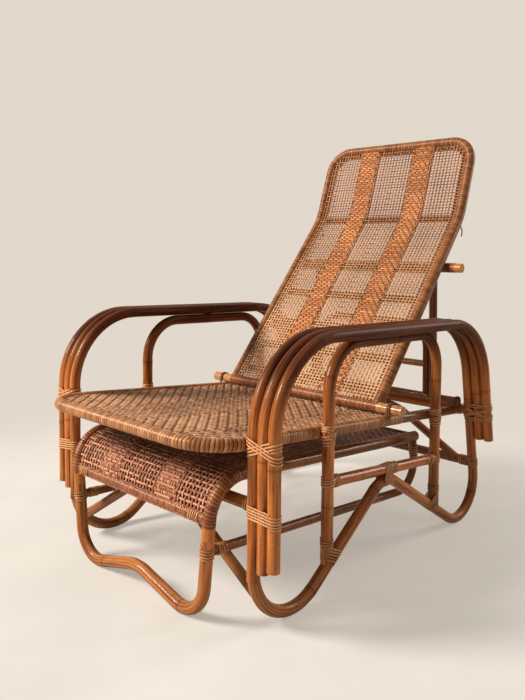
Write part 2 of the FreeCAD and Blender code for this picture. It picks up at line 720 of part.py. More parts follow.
def arm_lashings(name, side):
    """Bands that tie the three poles of an arm together, at the front and at the rear."""
    upright = V(0, 0, 1)
    lean = V(0, REAR_LEG[1][0], REAR_LEG[1][1])
    inner_x, outer_x = side * HOOP_X, side * (HOOP_X + 2 * ARM_PITCH)
    rear_y = rear_leg_y(rear_seat_z)
    places = [
        (FRONT_Y, seat_z(FRONT_Y), upright, LASH_TALL),
        (FRONT_Y, FRONT_RAIL_Z, upright, LASH_LOW),
        (rear_y, rear_seat_z, lean, LASH_TALL),
    ]
    bands = []
    for y, z, axis, tall in places:
        tie = band(V(inner_x, y, z), V(outer_x, y, z), axis, POLE_R, tall)
        bands.append(coped(tie, seat_frame, front_rail, rear_seat_rail))
    return Part.makeCompound(bands)


def post_lashings(name, side):
    """Rings that tie the seat frame and the stretcher to the two posts of a side."""
    x = side * HOOP_X
    bands = []
    for y in (FRONT_POST_Y, REAR_POST_Y):
        for z in (seat_z(y), stretcher_z(y)):
            ring = band(V(x, y, z), V(x, y, z), V(0, 0, 1), ARCH_R, LASH_RING)
            bands.append(coped(ring, seat_frame, stretchers[name], hoops[name]))
    return Part.makeCompound(bands)


def footrest_lashings():
    """Rings that tie the runners to the footrest's legs."""
    rings = []
    for name, side in SIDES.items():
        axis = V(side * leg_line()[1][0], 0, leg_line()[1][1])
        place = V(side * leg_x(RUNNER_FRONT_Z), LEG_Y, RUNNER_FRONT_Z)
        ring = band(place, place, axis, FOOT_POLE_R, LASH_RING)
        rings.append(coped(ring, runners[name]))
        top = V(side * FOOT_REAR_X, rear_rail_y, foot_top_z(rear_rail_y) - FOOT_POLE_R - LASH_RING)
        ring = band(top, top, V(0, -FOOT_RAIL_INSET, FOOT_REAR_Z - RUNNER_REAR_Z), RUNNER_R, LASH_LOW)
        rings.append(coped(ring, runners[name], foot_pole))
        end = V(side * (leg_x(EDGE_RAIL_Z) - FOOT_POLE_R - LASH_RING), LEG_Y, EDGE_RAIL_Z)
        ring = band(end, end, V(1, 0, 0), EDGE_RAIL_R, LASH_LOW)
        rings.append(coped(ring.cut(foot_sheet), foot_pole))
    return Part.makeCompound(rings)


def low_lashings():
    """Bands under the seat: humps to stretchers, posts to hoops, and rails and braces to each other."""
    bands = []
    for name, side in SIDES.items():
        x = side * HOOP_X
        low, high = V(x, HUMP_Y, HUMP_Z), V(x, HUMP_Y, stretcher_z(HUMP_Y))
        tie = band(low, high, V(0, 1, 0), POLE_R + LASH_SLACK, LASH_RING)
        bands.append(coped(tie, hoops[name], stretchers[name]))
        for y, line in ((FRONT_POST_Y, RISE), (REAR_POST_Y, FALL)):
            foot = V(x, y, meet(((y, 0.0), (0.0, 1.0)), line)[1] + POLE_R + LASH_RING)
            bands.append(coped(band(foot, foot, V(0, 0, 1), ARCH_R, LASH_LOW), hoops[name]))
        end = V(side * (HOOP_X - POLE_R - LASH_RING / 2 - CLEAR), rear_leg_y(REAR_RAIL_Z), REAR_RAIL_Z)
        bands.append(band(end, end, V(1, 0, 0), RAIL_R, LASH_RING))
    for rail, bent in ((front_rail, front_brace), (rear_seat_rail, rear_brace)):
        low, high = V(bent.points[1]), V(rail.points[0])
        low.x = high.x = 0.0
        tie = band(low, high, V(1, 0, 0), RAIL_R, LASH_RING)
        bands.append(coped(tie, rail, bent))
    return Part.makeCompound(bands)


for name, side in SIDES.items():
    parts[f"arm_lashings_{name}"] = arm_lashings(name, side)
    parts[f"post_lashings_{name}"] = post_lashings(name, side)
parts["footrest_lashings"] = footrest_lashings()
parts["low_lashings"] = low_lashings()

# Hand over: the origin goes under the middle of the whole chair

whole = Part.makeCompound(list(parts.values())).optimalBoundingBox()
shift = V(0, -(whole.YMin + whole.YMax) / 2, 0)
os.makedirs("parts", exist_ok=True)
for title, shape in parts.items():
    placed = shape.copy()
    placed.translate(shift)
    placed.exportStep(f"parts/{title}.step")

print("size", round(whole.XLength, 2), round(whole.YLength, 2), round(whole.ZLength, 2))
print("shift", round(shift.y, 4))
print("back pivot", PIVOT + shift)
print("prop pivot", prop_foot + shift, "prop top", prop_top + shift)
print("prop step", round(top_step, 3), "depth", round(top_depth, 3), "hook step", hook_step)
for title, shape in parts.items():
    if not shape.isValid() or not shape.Solids:
        print("check", title, shape.isValid(), len(shape.Solids))
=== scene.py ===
import bpy
import itertools
import math
from mathutils import Matrix, Vector


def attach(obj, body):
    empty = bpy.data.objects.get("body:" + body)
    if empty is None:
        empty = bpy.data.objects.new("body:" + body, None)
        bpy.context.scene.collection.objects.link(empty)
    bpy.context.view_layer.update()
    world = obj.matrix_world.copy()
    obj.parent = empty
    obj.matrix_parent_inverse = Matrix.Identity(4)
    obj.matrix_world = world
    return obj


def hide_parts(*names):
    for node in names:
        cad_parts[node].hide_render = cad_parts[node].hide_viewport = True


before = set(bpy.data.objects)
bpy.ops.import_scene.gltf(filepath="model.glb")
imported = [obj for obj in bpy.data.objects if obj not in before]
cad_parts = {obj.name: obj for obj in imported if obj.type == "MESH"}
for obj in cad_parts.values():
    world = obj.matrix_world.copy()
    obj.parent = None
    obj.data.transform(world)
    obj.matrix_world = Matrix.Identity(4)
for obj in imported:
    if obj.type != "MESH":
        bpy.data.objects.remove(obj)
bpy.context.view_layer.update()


# Camera
# The photograph is taken from the chair's left front corner, a little above the arms,
# with the lens nearly level and the frame shifted down so that uprights stay upright.

CAMERA_PLACE = (1.18978, -1.32780, 0.72392)
CAMERA_AZIMUTH = math.radians(43.672)
CAMERA_TILT = math.radians(3.701)
CAMERA_ROLL = math.radians(-0.583)
LENS, SENSOR_WIDTH = 35.92, 36
FRAME_SHIFT = -56.3 / 700

camera = bpy.data.objects.new("camera", bpy.data.cameras.new("camera"))
bpy.context.collection.objects.link(camera)
toward_lens = Vector((
    math.sin(CAMERA_AZIMUTH) * math.cos(CAMERA_TILT),
    -math.cos(CAMERA_AZIMUTH) * math.cos(CAMERA_TILT),
    math.sin(CAMERA_TILT),
))
level = Vector((math.cos(CAMERA_AZIMUTH), math.sin(CAMERA_AZIMUTH), 0))
steep = toward_lens.cross(level)
right = level * math.cos(CAMERA_ROLL) - steep * math.sin(CAMERA_ROLL)
up = level * math.sin(CAMERA_ROLL) + steep * math.cos(CAMERA_ROLL)
turned = Matrix((right, up, toward_lens)).transposed().to_4x4()
camera.matrix_world = Matrix.Translation(CAMERA_PLACE) @ turned
camera.data.lens = LENS
camera.data.sensor_width = SENSOR_WIDTH
camera.data.shift_y = FRAME_SHIFT
bpy.context.scene.camera = camera


# Studio
# A seamless cream sweep with a faintly mottled floor, under one large soft lamp at the left front,
# with a weak second lamp behind and an even glow all round.

def wire(tree, node, wires):
    """Set or wire the inputs of a node."""
    for socket, value in wires.items():
        if isinstance(value, bpy.types.NodeSocket):
            tree.links.new(value, node.inputs[socket])
        else:
            node.inputs[socket].default_value = value


def put(tree, kind, wires=None, **settings):
    """Add a node, set its options, then set or wire its inputs."""
    made = tree.nodes.new(kind)
    for option, value in settings.items():
        setattr(made, option, value)
    wire(tree, made, wires or {})
    return made


def calc(tree, operation, *values):
    """Output of a Math node on numbers or sockets."""
    return put(tree, "ShaderNodeMath", dict(enumerate(values)), operation=operation).outputs[0]


def times(tree, one, other):
    """Product of two numbers or sockets."""
    return calc(tree, "MULTIPLY", one, other)


def noise(tree, place, scale, detail):
    """Cloudy value between 0 and 1 over a place."""
    wires = {"Vector": place, "Scale": scale, "Detail": detail}
    return put(tree, "ShaderNodeTexNoise", wires).outputs[0]


def own_place(tree):
    """Object coordinates, which are the chair's frame in metres."""
    return put(tree, "ShaderNodeTexCoord").outputs["Object"]


def material(title):
    """New node material, with its tree and its surface shader."""
    made = bpy.data.materials.new(title)
    made.use_nodes = True
    return made, made.node_tree, made.node_tree.nodes["Principled BSDF"]


def seen_directly(tree):
    """1 for rays that show the background itself: to the camera, or by way of gloss or glass."""
    path = put(tree, "ShaderNodeLightPath").outputs
    mirrored = calc(tree, "MAXIMUM", path["Is Glossy Ray"], path["Is Transmission Ray"])
    return calc(tree, "MAXIMUM", path["Is Camera Ray"], mirrored)


BACKDROP = (0.76, 0.685, 0.595, 1)
FLOOR_SPAN = 40.0
MOTTLE_SCALE, MOTTLE_DETAIL = 4.0, 8
MOTTLE = {0.35: (0.69, 0.645, 0.58, 1), 0.65: (0.765, 0.72, 0.655, 1)}
FADE_FROM, FADE_TO = 0.60, 1.70
SHADOW_FILL = 0.50

floor_mesh = bpy.data.meshes.new("floor")
reach = FLOOR_SPAN / 2
floor_mesh.from_pydata(
    [(-reach, -reach, 0), (reach, -reach, 0), (reach, reach, 0), (-reach, reach, 0)],
    [],
    [(0, 1, 2, 3)],
)
floor = bpy.data.objects.new("floor", floor_mesh)
bpy.context.collection.objects.link(floor)
floor_finish, tree, shader = material("studio_floor")
place = own_place(tree)
lime = put(tree, "ShaderNodeValToRGB", {0: noise(tree, place, MOTTLE_SCALE, MOTTLE_DETAIL)})
for stop, (share, tone) in zip(lime.color_ramp.elements, MOTTLE.items()):
    stop.position = share
    stop.color = tone
wire(tree, shader, {"Base Color": lime.outputs[0], "Roughness": 0.9, "Specular IOR Level": 0.1})
away = put(tree, "ShaderNodeVectorMath", {0: place}, operation="LENGTH").outputs["Value"]
fade = put(
    tree, "ShaderNodeMapRange", {0: away, 1: FADE_FROM, 2: FADE_TO, 3: SHADOW_FILL},
    interpolation_type="SMOOTHSTEP",
)
wall = put(tree, "ShaderNodeEmission", {"Color": BACKDROP, "Strength": 1.0})
shown = times(tree, fade.outputs[0], seen_directly(tree))
sweep = put(tree, "ShaderNodeMixShader", {0: shown, 1: shader.outputs[0], 2: wall.outputs[0]})
wire(tree, tree.nodes["Material Output"], {"Surface": sweep.outputs[0]})
floor_mesh.materials.append(floor_finish)

GLOW, GLOW_STRENGTH = (1.0, 0.97, 0.93, 1), 0.23
world = bpy.data.worlds.new("studio")
bpy.context.scene.world = world
world.use_nodes = True
tree = world.node_tree
glow = tree.nodes["Background"]
wire(tree, glow, {"Color": GLOW, "Strength": GLOW_STRENGTH})
seen = put(tree, "ShaderNodeBackground", {"Color": BACKDROP, "Strength": 1.0})
either = put(
    tree, "ShaderNodeMixShader", {0: seen_directly(tree), 1: glow.outputs[0], 2: seen.outputs[0]}
)
wire(tree, tree.nodes["World Output"], {"Surface": either.outputs[0]})

LAMP_AIM = Vector((0, 0, 0.4))
LAMPS = {
    "key_lamp": ((-2.7, -3.7, 3.3), 1.9, 520, (1.0, 0.97, 0.93)),
    "rear_lamp": ((1.9, 3.3, 2.3), 2.0, 90, (1.0, 0.98, 0.95)),
}
for title, (place, size, power, colour) in LAMPS.items():
    lamp = bpy.data.objects.new(title, bpy.data.lights.new(title, "AREA"))
    lamp.data.shape = "DISK"
    lamp.data.size = size
    lamp.data.energy = power
    lamp.data.color = colour
    facing = (LAMP_AIM - Vector(place)).to_track_quat("-Z", "Y")
    lamp.matrix_world = Matrix.Translation(place) @ facing.to_matrix().to_4x4()
    bpy.context.collection.objects.link(lamp)
bpy.context.scene.view_settings.view_transform = "Standard"


# Side hoops
# One rattan pole a side, steamed and bent into the front foot, hump, rear foot, rear leg,
# arm and front upright. Growth joints ring it, and the varnish has darkened on the arm.

POLE_R = 0.0126
FRONT_Y = -0.4205
ARM_FRONT, ARM_REAR = (FRONT_Y, 0.5586, 0.172), (0.3659, 0.5396, 0.174)
HOOP_X = 0.307
HOOP_ROUTE = [
    (FRONT_Y, 0.1046, 0),
    (FRONT_Y, -0.0941, 0.113),
    (0.0075, 0.2100, 0.076),
    (0.4809, -0.0809, 0.090),
    ARM_REAR,
    ARM_FRONT,
    (FRONT_Y, 0.1050, 0),
]
SIDES = {"left": 1, "right": -1}
POLE_FACES, BEND_STEPS = 18, 24
POLE_STEP, STEPS_A_TURN = 0.006, 6
JOINT_GAP, JOINT_SWELL = 0.27, 0.035
SWELL_REACH, JOINT_LINE = 0.005, 0.0022
START_STEP = 0.83


def new_tree(title, kind, inputs, outputs):
    """Node tree with named sockets, and what comes in through them."""
    tree = bpy.data.node_groups.new(title, kind)
    for way, sockets in (("INPUT", inputs), ("OUTPUT", outputs)):
        for name, sort in sockets.items():
            tree.interface.new_socket(name, in_out=way, socket_type="NodeSocket" + sort)
    return tree, tree.nodes.new("NodeGroupInput").outputs


def vector_calc(tree, operation, *vectors):
    """Output of a Vector Math node."""
    return put(tree, "ShaderNodeVectorMath", dict(enumerate(vectors)), operation=operation).outputs[0]


def scaled(tree, vector, factor):
    """Vector made longer or shorter."""
    wires = {0: vector, "Scale": factor}
    return put(tree, "ShaderNodeVectorMath", wires, operation="SCALE").outputs[0]


def parts_of(tree, vector):
    """X, Y and Z of a vector."""
    return put(tree, "ShaderNodeSeparateXYZ", {0: vector}).outputs


def joined(tree, *values):
    """Vector of X, Y and Z."""
    return put(tree, "ShaderNodeCombineXYZ", dict(enumerate(values))).outputs[0]


def formed(tree, kind, wires=None, **settings):
    """First output of a geometry node."""
    return put(tree, "GeometryNode" + kind, wires, **settings).outputs[0]


def stored(tree, geometry, title, value, kind="FLOAT"):
    """Geometry with a value kept on its points."""
    wires = {"Geometry": geometry, "Name": title, "Value": value}
    return formed(tree, "StoreNamedAttribute", wires, data_type=kind, domain="POINT")


def kept(tree, title, kind="FLOAT"):
    """A value that was kept on the points."""
    return formed(tree, "InputNamedAttribute", {"Name": title}, data_type=kind)


def bent_line(tree, corners):
    """Curve along a chain of corners, each rounded by the bend that it keeps."""
    line = formed(tree, "MeshToCurve", {"Mesh": corners})
    wires = {"Curve": line, "Count": BEND_STEPS, "Radius": kept(tree, "bend")}
    return formed(tree, "FilletCurve", wires, mode="POLY")


def swept(tree, line, section, **extra):
    """Solid of a section along a line, whose points keep their unbent place as their grain."""
    here = formed(tree, "InputPosition")
    section = stored(tree, section, "ring", here, "FLOAT_VECTOR")
    wires = {"Curve": line, "Profile Curve": section, "Fill Caps": True, **extra}
    solid = formed(tree, "CurveToMesh", wires)
    ring_x, ring_y, _ = parts_of(tree, kept(tree, "ring", "FLOAT_VECTOR"))
    grain = joined(tree, ring_x, ring_y, kept(tree, "along"))
    return stored(tree, solid, "grain", grain, "FLOAT_VECTOR")


def joint_rise(tree, top, along, gap, line):
    """Height at a growth joint, falling off to both sides of it."""
    from_joint = calc(tree, "PINGPONG", along, times(tree, gap, 0.5))
    fall = calc(tree, "POWER", calc(tree, "DIVIDE", from_joint, line), 2.0)
    return calc(tree, "DIVIDE", top, calc(tree, "ADD", fall, 1.0))


def turns_at(tree, grain, pitch):
    """How many turns a winding has made at a place on its pole."""
    x, y, along = parts_of(tree, grain)
    turn = calc(tree, "DIVIDE", calc(tree, "ARCTAN2", y, x), 2 * math.pi)
    return calc(tree, "ADD", calc(tree, "DIVIDE", along, pitch), turn)


def across_turn(tree, turns):
    """Place across one turn of a winding, from -1 to 1."""
    return calc(tree, "MULTIPLY_ADD", calc(tree, "FRACT", turns), 2.0, -1.0)


def closed(tree, geometry, finish):
    """End a tree: its geometry, made real and given its finish, goes out."""
    whole = formed(tree, "RealizeInstances", {0: geometry})
    done = formed(tree, "SetMaterial", {"Geometry": whole, "Material": finish})
    wire(tree, tree.nodes.new("NodeGroupOutput"), {0: done})
    return tree


def bent_pole_tree():
    """Sweep a round pole along a route, with growth joints, and with ridges where cane is wound on it."""
    sizes = ("Radius", "Step", "Joint gap", "Joint swell", "Winding", "Ridge", "Start")
    inputs = {"Route": "Geometry", **dict.fromkeys(sizes, "Float"), "Finish": "Material"}
    tree, given = new_tree("bent_pole", "GeometryNodeTree", inputs, {"Pole": "Geometry"})
    wires = {"Curve": bent_line(tree, given["Route"]), "Length": given["Step"]}
    even = formed(tree, "ResampleCurve", wires, mode="LENGTH")
    length = put(tree, "GeometryNodeSplineParameter").outputs["Length"]
    grown = calc(tree, "ADD", length, given["Start"])
    wires = {"Resolution": POLE_FACES, "Radius": given["Radius"]}
    circle = formed(tree, "CurvePrimitiveCircle", wires)
    swell = joint_rise(tree, given["Joint swell"], grown, given["Joint gap"], SWELL_REACH)
    pole = swept(tree, stored(tree, even, "along", grown), circle, Scale=calc(tree, "ADD", swell, 1.0))
    turns = turns_at(tree, kept(tree, "grain", "FLOAT_VECTOR"), given["Winding"])
    crown = calc(tree, "SUBTRACT", 1.0, calc(tree, "POWER", across_turn(tree, turns), 4.0))
    outward = formed(tree, "InputNormal")
    raised = scaled(tree, outward, times(tree, crown, given["Ridge"]))
    ridged = formed(tree, "SetPosition", {"Geometry": pole, "Offset": raised})
    corners = put(tree, "GeometryNodeInputMeshFaceNeighbors").outputs["Vertex Count"]
    wires = {"Geometry": ridged, "Selection": calc(tree, "LESS_THAN", corners, 5)}
    return closed(tree, formed(tree, "SetShadeSmooth", wires), given["Finish"])


def from_nodes(title, mesh, tree, values):
    """Plain mesh object that a geometry tree makes from a starting mesh."""
    made = bpy.data.objects.new(title, mesh)
    bpy.context.collection.objects.link(made)
    modifier = made.modifiers.new("shape", "NODES")
    modifier.node_group = tree
    for item in tree.interface.items_tree:
        if item.in_out == "INPUT" and item.name in values:
            modifier[item.identifier] = values[item.name]
    graph = bpy.context.evaluated_depsgraph_get()
    shape = bpy.data.meshes.new_from_object(made.evaluated_get(graph))
    made.modifiers.clear()
    made.data = shape
    shape.name = title
    return made


def stands_for(piece, node, body):
    """Put a piece in the place of a solid, on its body."""
    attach(piece, body)
    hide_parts(node)


def route_mesh(chains, mark="bend"):
    """Mesh of bare edges along one or more chains of corners, each a place and its mark."""
    mesh = bpy.data.meshes.new("route")
    places, edges, marks = [], [], []
    for chain in chains:
        first = len(places)
        places += [place for place, _ in chain]
        marks += [value for _, value in chain]
        edges += [(first + step, first + step + 1) for step in range(len(chain) - 1)]
    mesh.from_pydata(places, edges, [])
    if mark == "bend":
        mesh.attributes.new(mark, "FLOAT", "POINT").data.foreach_set("value", marks)
    else:
        flat = [part for value in marks for part in value]
        mesh.attributes.new(mark, "FLOAT_VECTOR", "POINT").data.foreach_set("vector", flat)
    return mesh


pole_tree = bent_pole_tree()
pole_count = itertools.count(1)


def bent_pole(
    title, body, corners, radius, finish, swell=JOINT_SWELL, winding=0.0, ridge=0.0
):
    """Pole through corners of X, Y, Z and bend, in place of the solid of its name."""
    chain = [(corner[:3], corner[3]) for corner in corners]
    values = {
        "Radius": radius - ridge,
        "Step": winding / STEPS_A_TURN if winding else POLE_STEP,
        "Joint gap": JOINT_GAP,
        "Joint swell": 0.0 if winding else swell,
        "Winding": winding or 1.0,
        "Ridge": ridge,
        "Start": next(pole_count) * START_STEP,
        "Finish": finish,
    }
    made = from_nodes(title + "_form", route_mesh([chain]), pole_tree, values)
    stands_for(made, title, body)


def mixed(tree, share, one, other):
    """Colour between two colours or sockets, by a share."""
    return put(tree, "ShaderNodeMix", {0: share, 6: one, 7: other}, data_type="RGBA").outputs[2]


def ranged(tree, value, low, high):
    """Share of the way of a value from low to high, kept between 0 and 1."""
    return put(tree, "ShaderNodeMapRange", {0: value, 1: low, 2: high}).outputs[0]


def painted(tree, title):
    """Vector that a shape keeps on its points for its finish."""
    return put(tree, "ShaderNodeAttribute", attribute_name=title).outputs["Vector"]


FIBRE_STRETCH, PATCH_STRETCH, FLECK_STRETCH = (260, 260, 7), (45, 45, 5.5), (420, 420, 110)


def rattan_grain_group():
    """Fibre streaks, growth joints and dark flecks along a pole, read from its unbent coordinates."""
    outputs = dict.fromkeys(("Fibre", "Patch", "Joint", "Fleck"), "Float")
    tree, given = new_tree("rattan_grain", "ShaderNodeTree", {"Joint gap": "Float"}, outputs)
    grain = painted(tree, "grain")

    def streaks(stretch, detail):
        """Noise that is drawn out along the pole."""
        return noise(tree, vector_calc(tree, "MULTIPLY", grain, stretch), 1.0, detail)

    joint = joint_rise(tree, 1.0, parts_of(tree, grain)[2], given["Joint gap"], JOINT_LINE)
    fleck = ranged(tree, streaks(FLECK_STRETCH, 1), 0.66, 0.74)
    wire(tree, tree.nodes.new("NodeGroupOutput"), {
        "Fibre": streaks(FIBRE_STRETCH, 3),
        "Patch": streaks(PATCH_STRETCH, 2),
        "Joint": joint,
        "Fleck": fleck,
    })
    return tree


grain_group = rattan_grain_group()
AGED_FROM, AGED_TO = 0.46, 0.61
SCUFFED_FROM, SCUFFED_TO = 0.30, 0.10
SCUFF_DEEP, SCUFF_LIGHT = (0.085, 0.027, 0.010, 1), (0.36, 0.148, 0.058, 1)
JOINT_TONE = (0.035, 0.014, 0.006, 1)


def varnished_rattan(title, light, deep, aged, arm_share, gap=JOINT_GAP, edge=0.0):
    """Varnished pole or strip, streaked between two tones and aged to a third on the arms.

    Its feet are scuffed, and a strip is dark along its edges: painted shade and dirt where turns lie against
    each other."""
    finish, tree, shader = material(title)
    grain = put(tree, "ShaderNodeGroup", {"Joint gap": gap}, node_tree=grain_group).outputs
    fibre, patch = grain["Fibre"], grain["Patch"]
    streak = ranged(tree, calc(tree, "MULTIPLY_ADD", patch, 0.9, fibre), 0.68, 1.20)
    tone = mixed(tree, streak, deep, light)
    _, y, z = parts_of(tree, own_place(tree))
    wander = calc(tree, "MULTIPLY_ADD", patch, 0.16, z)
    age = times(tree, ranged(tree, wander, AGED_FROM, AGED_TO), arm_share)
    # Poles also go a little towards the aged tone towards the rear, so they are darker there.
    rear_low = times(tree, ranged(tree, y, 0.05, 0.5), 0.03)
    towards_aged = calc(tree, "MAXIMUM", age, rear_low)
    aged_light = tuple(2.4 * part for part in aged[:3]) + (1,)
    tone = mixed(tree, towards_aged, tone, mixed(tree, ranged(tree, fibre, 0.4, 0.62), aged, aged_light))
    scuffed = times(tree, ranged(tree, wander, SCUFFED_FROM, SCUFFED_TO), 0.75)
    worn = mixed(tree, ranged(tree, fibre, 0.35, 0.65), SCUFF_DEEP, SCUFF_LIGHT)
    tone = mixed(tree, scuffed, tone, worn)
    marks = calc(tree, "MAXIMUM", times(tree, grain["Joint"], 0.75), grain["Fleck"])
    # Dark strip edges: painted shade and dirt where one turn lies against the next.
    if edge:
        across = calc(tree, "ABSOLUTE", parts_of(tree, painted(tree, "grain"))[1])
        marks = calc(tree, "MAXIMUM", marks, ranged(tree, across, 0.5 * edge, edge))
    dull = calc(tree, "MAXIMUM", age, scuffed)
    raised = calc(tree, "SUBTRACT", fibre, grain["Joint"])
    bump = put(tree, "ShaderNodeBump", {"Height": raised, "Distance": 0.0006, "Strength": 0.35})
    wire(tree, shader, {
        "Base Color": mixed(tree, times(tree, marks, 0.7), tone, JOINT_TONE),
        "Roughness": calc(tree, "MULTIPLY_ADD", fibre, 0.2, calc(tree, "MULTIPLY_ADD", dull, 0.18, 0.13)),
        "Coat Weight": calc(tree, "MULTIPLY_ADD", dull, -0.29, 0.32),
        "Coat Roughness": 0.1,
        "Specular IOR Level": 0.04,
        "Specular Tint": (1.0, 0.8, 0.6, 1),
        "Normal": bump.outputs[0],
    })
    return finish


honey_pole = varnished_rattan(
    "honey_pole", (0.60, 0.195, 0.044, 1), (0.17, 0.042, 0.009, 1), (0.050, 0.013, 0.006, 1), 0.97
)
for name, side in SIDES.items():
    hoop = [(side * HOOP_X, y, z, bend) for y, z, bend in HOOP_ROUTE]
    bent_pole(f"side_hoop_{name}", "frame", hoop, POLE_R, honey_pole)


# Arm poles
# Two shorter poles lie outside each hoop and widen the arm to three poles.
# Their lower ends are sawn off square and show at the front and at the rear.

ARM_PITCH = 0.0255
ARM_ENDS = {"middle": 0.128, "outer": 0.138}
ARM_REAR_END = (0.4255, 0.2180)

for name, side in SIDES.items():
    for count, (which, front_z) in enumerate(ARM_ENDS.items(), 1):
        x = side * (HOOP_X + count * ARM_PITCH)
        corners = [(x, FRONT_Y, front_z, 0), (x, *ARM_FRONT), (x, *ARM_REAR), (x, *ARM_REAR_END, 0)]
        bent_pole(f"arm_pole_{which}_{name}", "frame", corners, POLE_R, honey_pole)


# Inner arches and side stretchers
# An inverted U of bent rattan stands on each hoop and carries the arm,
# and a straight pole between its two posts runs over the hoop's hump.

POST_R, STRETCHER_R = 0.0129, 0.0123
FRONT_POST_Y, REAR_POST_Y = -0.2010, 0.2315
FRONT_STRETCHER_Z, REAR_STRETCHER_Z = 0.240, 0.200
for name, side in SIDES.items():
    x = side * HOOP_X
    arch = [
        (x, FRONT_POST_Y, 0.0600, 0),
        (x, FRONT_POST_Y, 0.5275, 0.097),
        (x, REAR_POST_Y, 0.5170, 0.086),
        (x, REAR_POST_Y, 0.0700, 0),
    ]
    bent_pole(f"inner_arch_{name}", "frame", arch, POST_R, honey_pole)
    stretcher = [(x, FRONT_POST_Y, FRONT_STRETCHER_Z, 0), (x, REAR_POST_Y, REAR_STRETCHER_Z, 0)]
    bent_pole(f"side_stretcher_{name}", "frame", stretcher, STRETCHER_R, honey_pole)


# Cross rails and braces
# Straight rails join the two sides at the front, under the seat's rear end and low at the rear.
# A thinner brace, bent to a flat arch, stiffens them at the front and at the rear.

brown_pole = varnished_rattan(
    "brown_pole", (0.36, 0.130, 0.036, 1), (0.11, 0.032, 0.009, 1), (0.080, 0.026, 0.012, 1), 0.4
)
CROSS_R, BRACE_R, BRACE_BEND = 0.0125, 0.011, 0.12
FRONT_RAIL, REAR_RAIL, LOW_RAIL = (-0.3951, 0.2355), (0.4116, 0.2933), (0.4391, 0.1450)


def straight(half, place):
    """Corners of a level pole from side to side."""
    return [(-half, *place, 0), (half, *place, 0)]


bent_pole("front_cross_rail", "frame", straight(0.316, FRONT_RAIL), CROSS_R, honey_pole)
bent_pole("rear_seat_rail", "frame", straight(HOOP_X, REAR_RAIL), CROSS_R, honey_pole)
bent_pole("rear_low_rail", "frame", straight(HOOP_X, LOW_RAIL), CROSS_R, brown_pole)
BRACES = {
    "front_brace": ((0.300, -0.3951, 0.0582), (0.057, -0.3951, 0.2117)),
    "rear_brace": ((0.262, *LOW_RAIL), (0.072, 0.4160, 0.2695)),
}
for title, ((foot_x, *foot), (top_x, *top)) in BRACES.items():
    corners = [(-foot_x, *foot, 0), (-top_x, *top, BRACE_BEND), (top_x, *top, BRACE_BEND), (foot_x, *foot, 0)]
    bent_pole(title, "frame", corners, BRACE_R, brown_pole)


# Seat frame
# One bent pole round the seat. It is wound with split cane as far back as the weave goes,
# and bare behind it, where a straight rail holds the rear edge of the weave.

SEAT_WINDING = 0.0078
PAINTED_GAP_SHADE = (0.016, 0.006, 0.002, 1)


def random_of(tree, number):
    """Fixed random value between 0 and 1 for a whole number."""
    return put(tree, "ShaderNodeTexWhiteNoise", {"W": number}, noise_dimensions="1D").outputs[0]


def wound_cane(title, light, deep, pitch, dark=0.85, gap_from=0.52):
    """Split cane wound close round a pole: each turn its own tone, with painted shade in the gaps between
    turns.
    """
    finish, tree, shader = material(title)
    grain = painted(tree, "grain")
    turns = turns_at(tree, grain, pitch)
    own = random_of(tree, calc(tree, "FLOOR", turns))
    gap = ranged(tree, calc(tree, "ABSOLUTE", across_turn(tree, turns)), gap_from, 0.94)
    broad = noise(tree, grain, 9.0, 2)
    share = calc(tree, "MULTIPLY_ADD", own, 0.55, times(tree, broad, 0.6))
    tone = mixed(tree, ranged(tree, share, 0.15, 0.85), deep, light)
    # The gaps between turns go over to near black: painted shade.
    wire(tree, shader, {
        "Base Color": mixed(tree, times(tree, gap, dark), tone, PAINTED_GAP_SHADE),
        "Roughness": calc(tree, "MULTIPLY_ADD", own, 0.15, 0.3),
        "Coat Weight": 0.2,
        "Coat Roughness": 0.2,
        "Specular IOR Level": 0.15,
        "Specular Tint": (1.0, 0.8, 0.58, 1),
    })
    return finish


honey_winding = wound_cane(
    "honey_winding", (0.53, 0.22, 0.075, 1), (0.18, 0.060, 0.018, 1), SEAT_WINDING, dark=0.95, gap_from=0.62
)
SEAT_X, SEAT_BEND = 0.2809, 0.094
SEAT_FRONT, SEAT_REAR = (-0.5155, 0.3670), (0.4116, 0.2932)
SEAT_WOUND_TO, SEAT_BARE_FROM = (0.1040, 0.3177), (0.0980, 0.3182)
WEAVE_END = (0.0925, 0.3183)
seat_rim = [
    (-SEAT_X, *SEAT_WOUND_TO, 0),
    (-SEAT_X, *SEAT_FRONT, SEAT_BEND),
    (SEAT_X, *SEAT_FRONT, SEAT_BEND),
    (SEAT_X, *SEAT_WOUND_TO, 0),
]
bent_pole("seat_frame", "frame", seat_rim, 0.0134, honey_winding, winding=SEAT_WINDING, ridge=0.0013)
for side in SIDES.values():
    bare = [(side * SEAT_X, *SEAT_BARE_FROM, 0), (side * SEAT_X, *SEAT_REAR, 0)]
    bent_pole("seat_frame", "frame", bare, CROSS_R, brown_pole)
bent_pole("seat_rear_rail", "frame", straight(SEAT_X, WEAVE_END), 0.010, brown_pole)


# Woven seat
# Flat cane strips in a herringbone twill, over two and under two, drawn tight between the sides
# of the seat frame. The panel follows the frame's round front corners and sags a little.

SIDEWAYS = 0.00001
CORNER_SLACK = 0.0000001


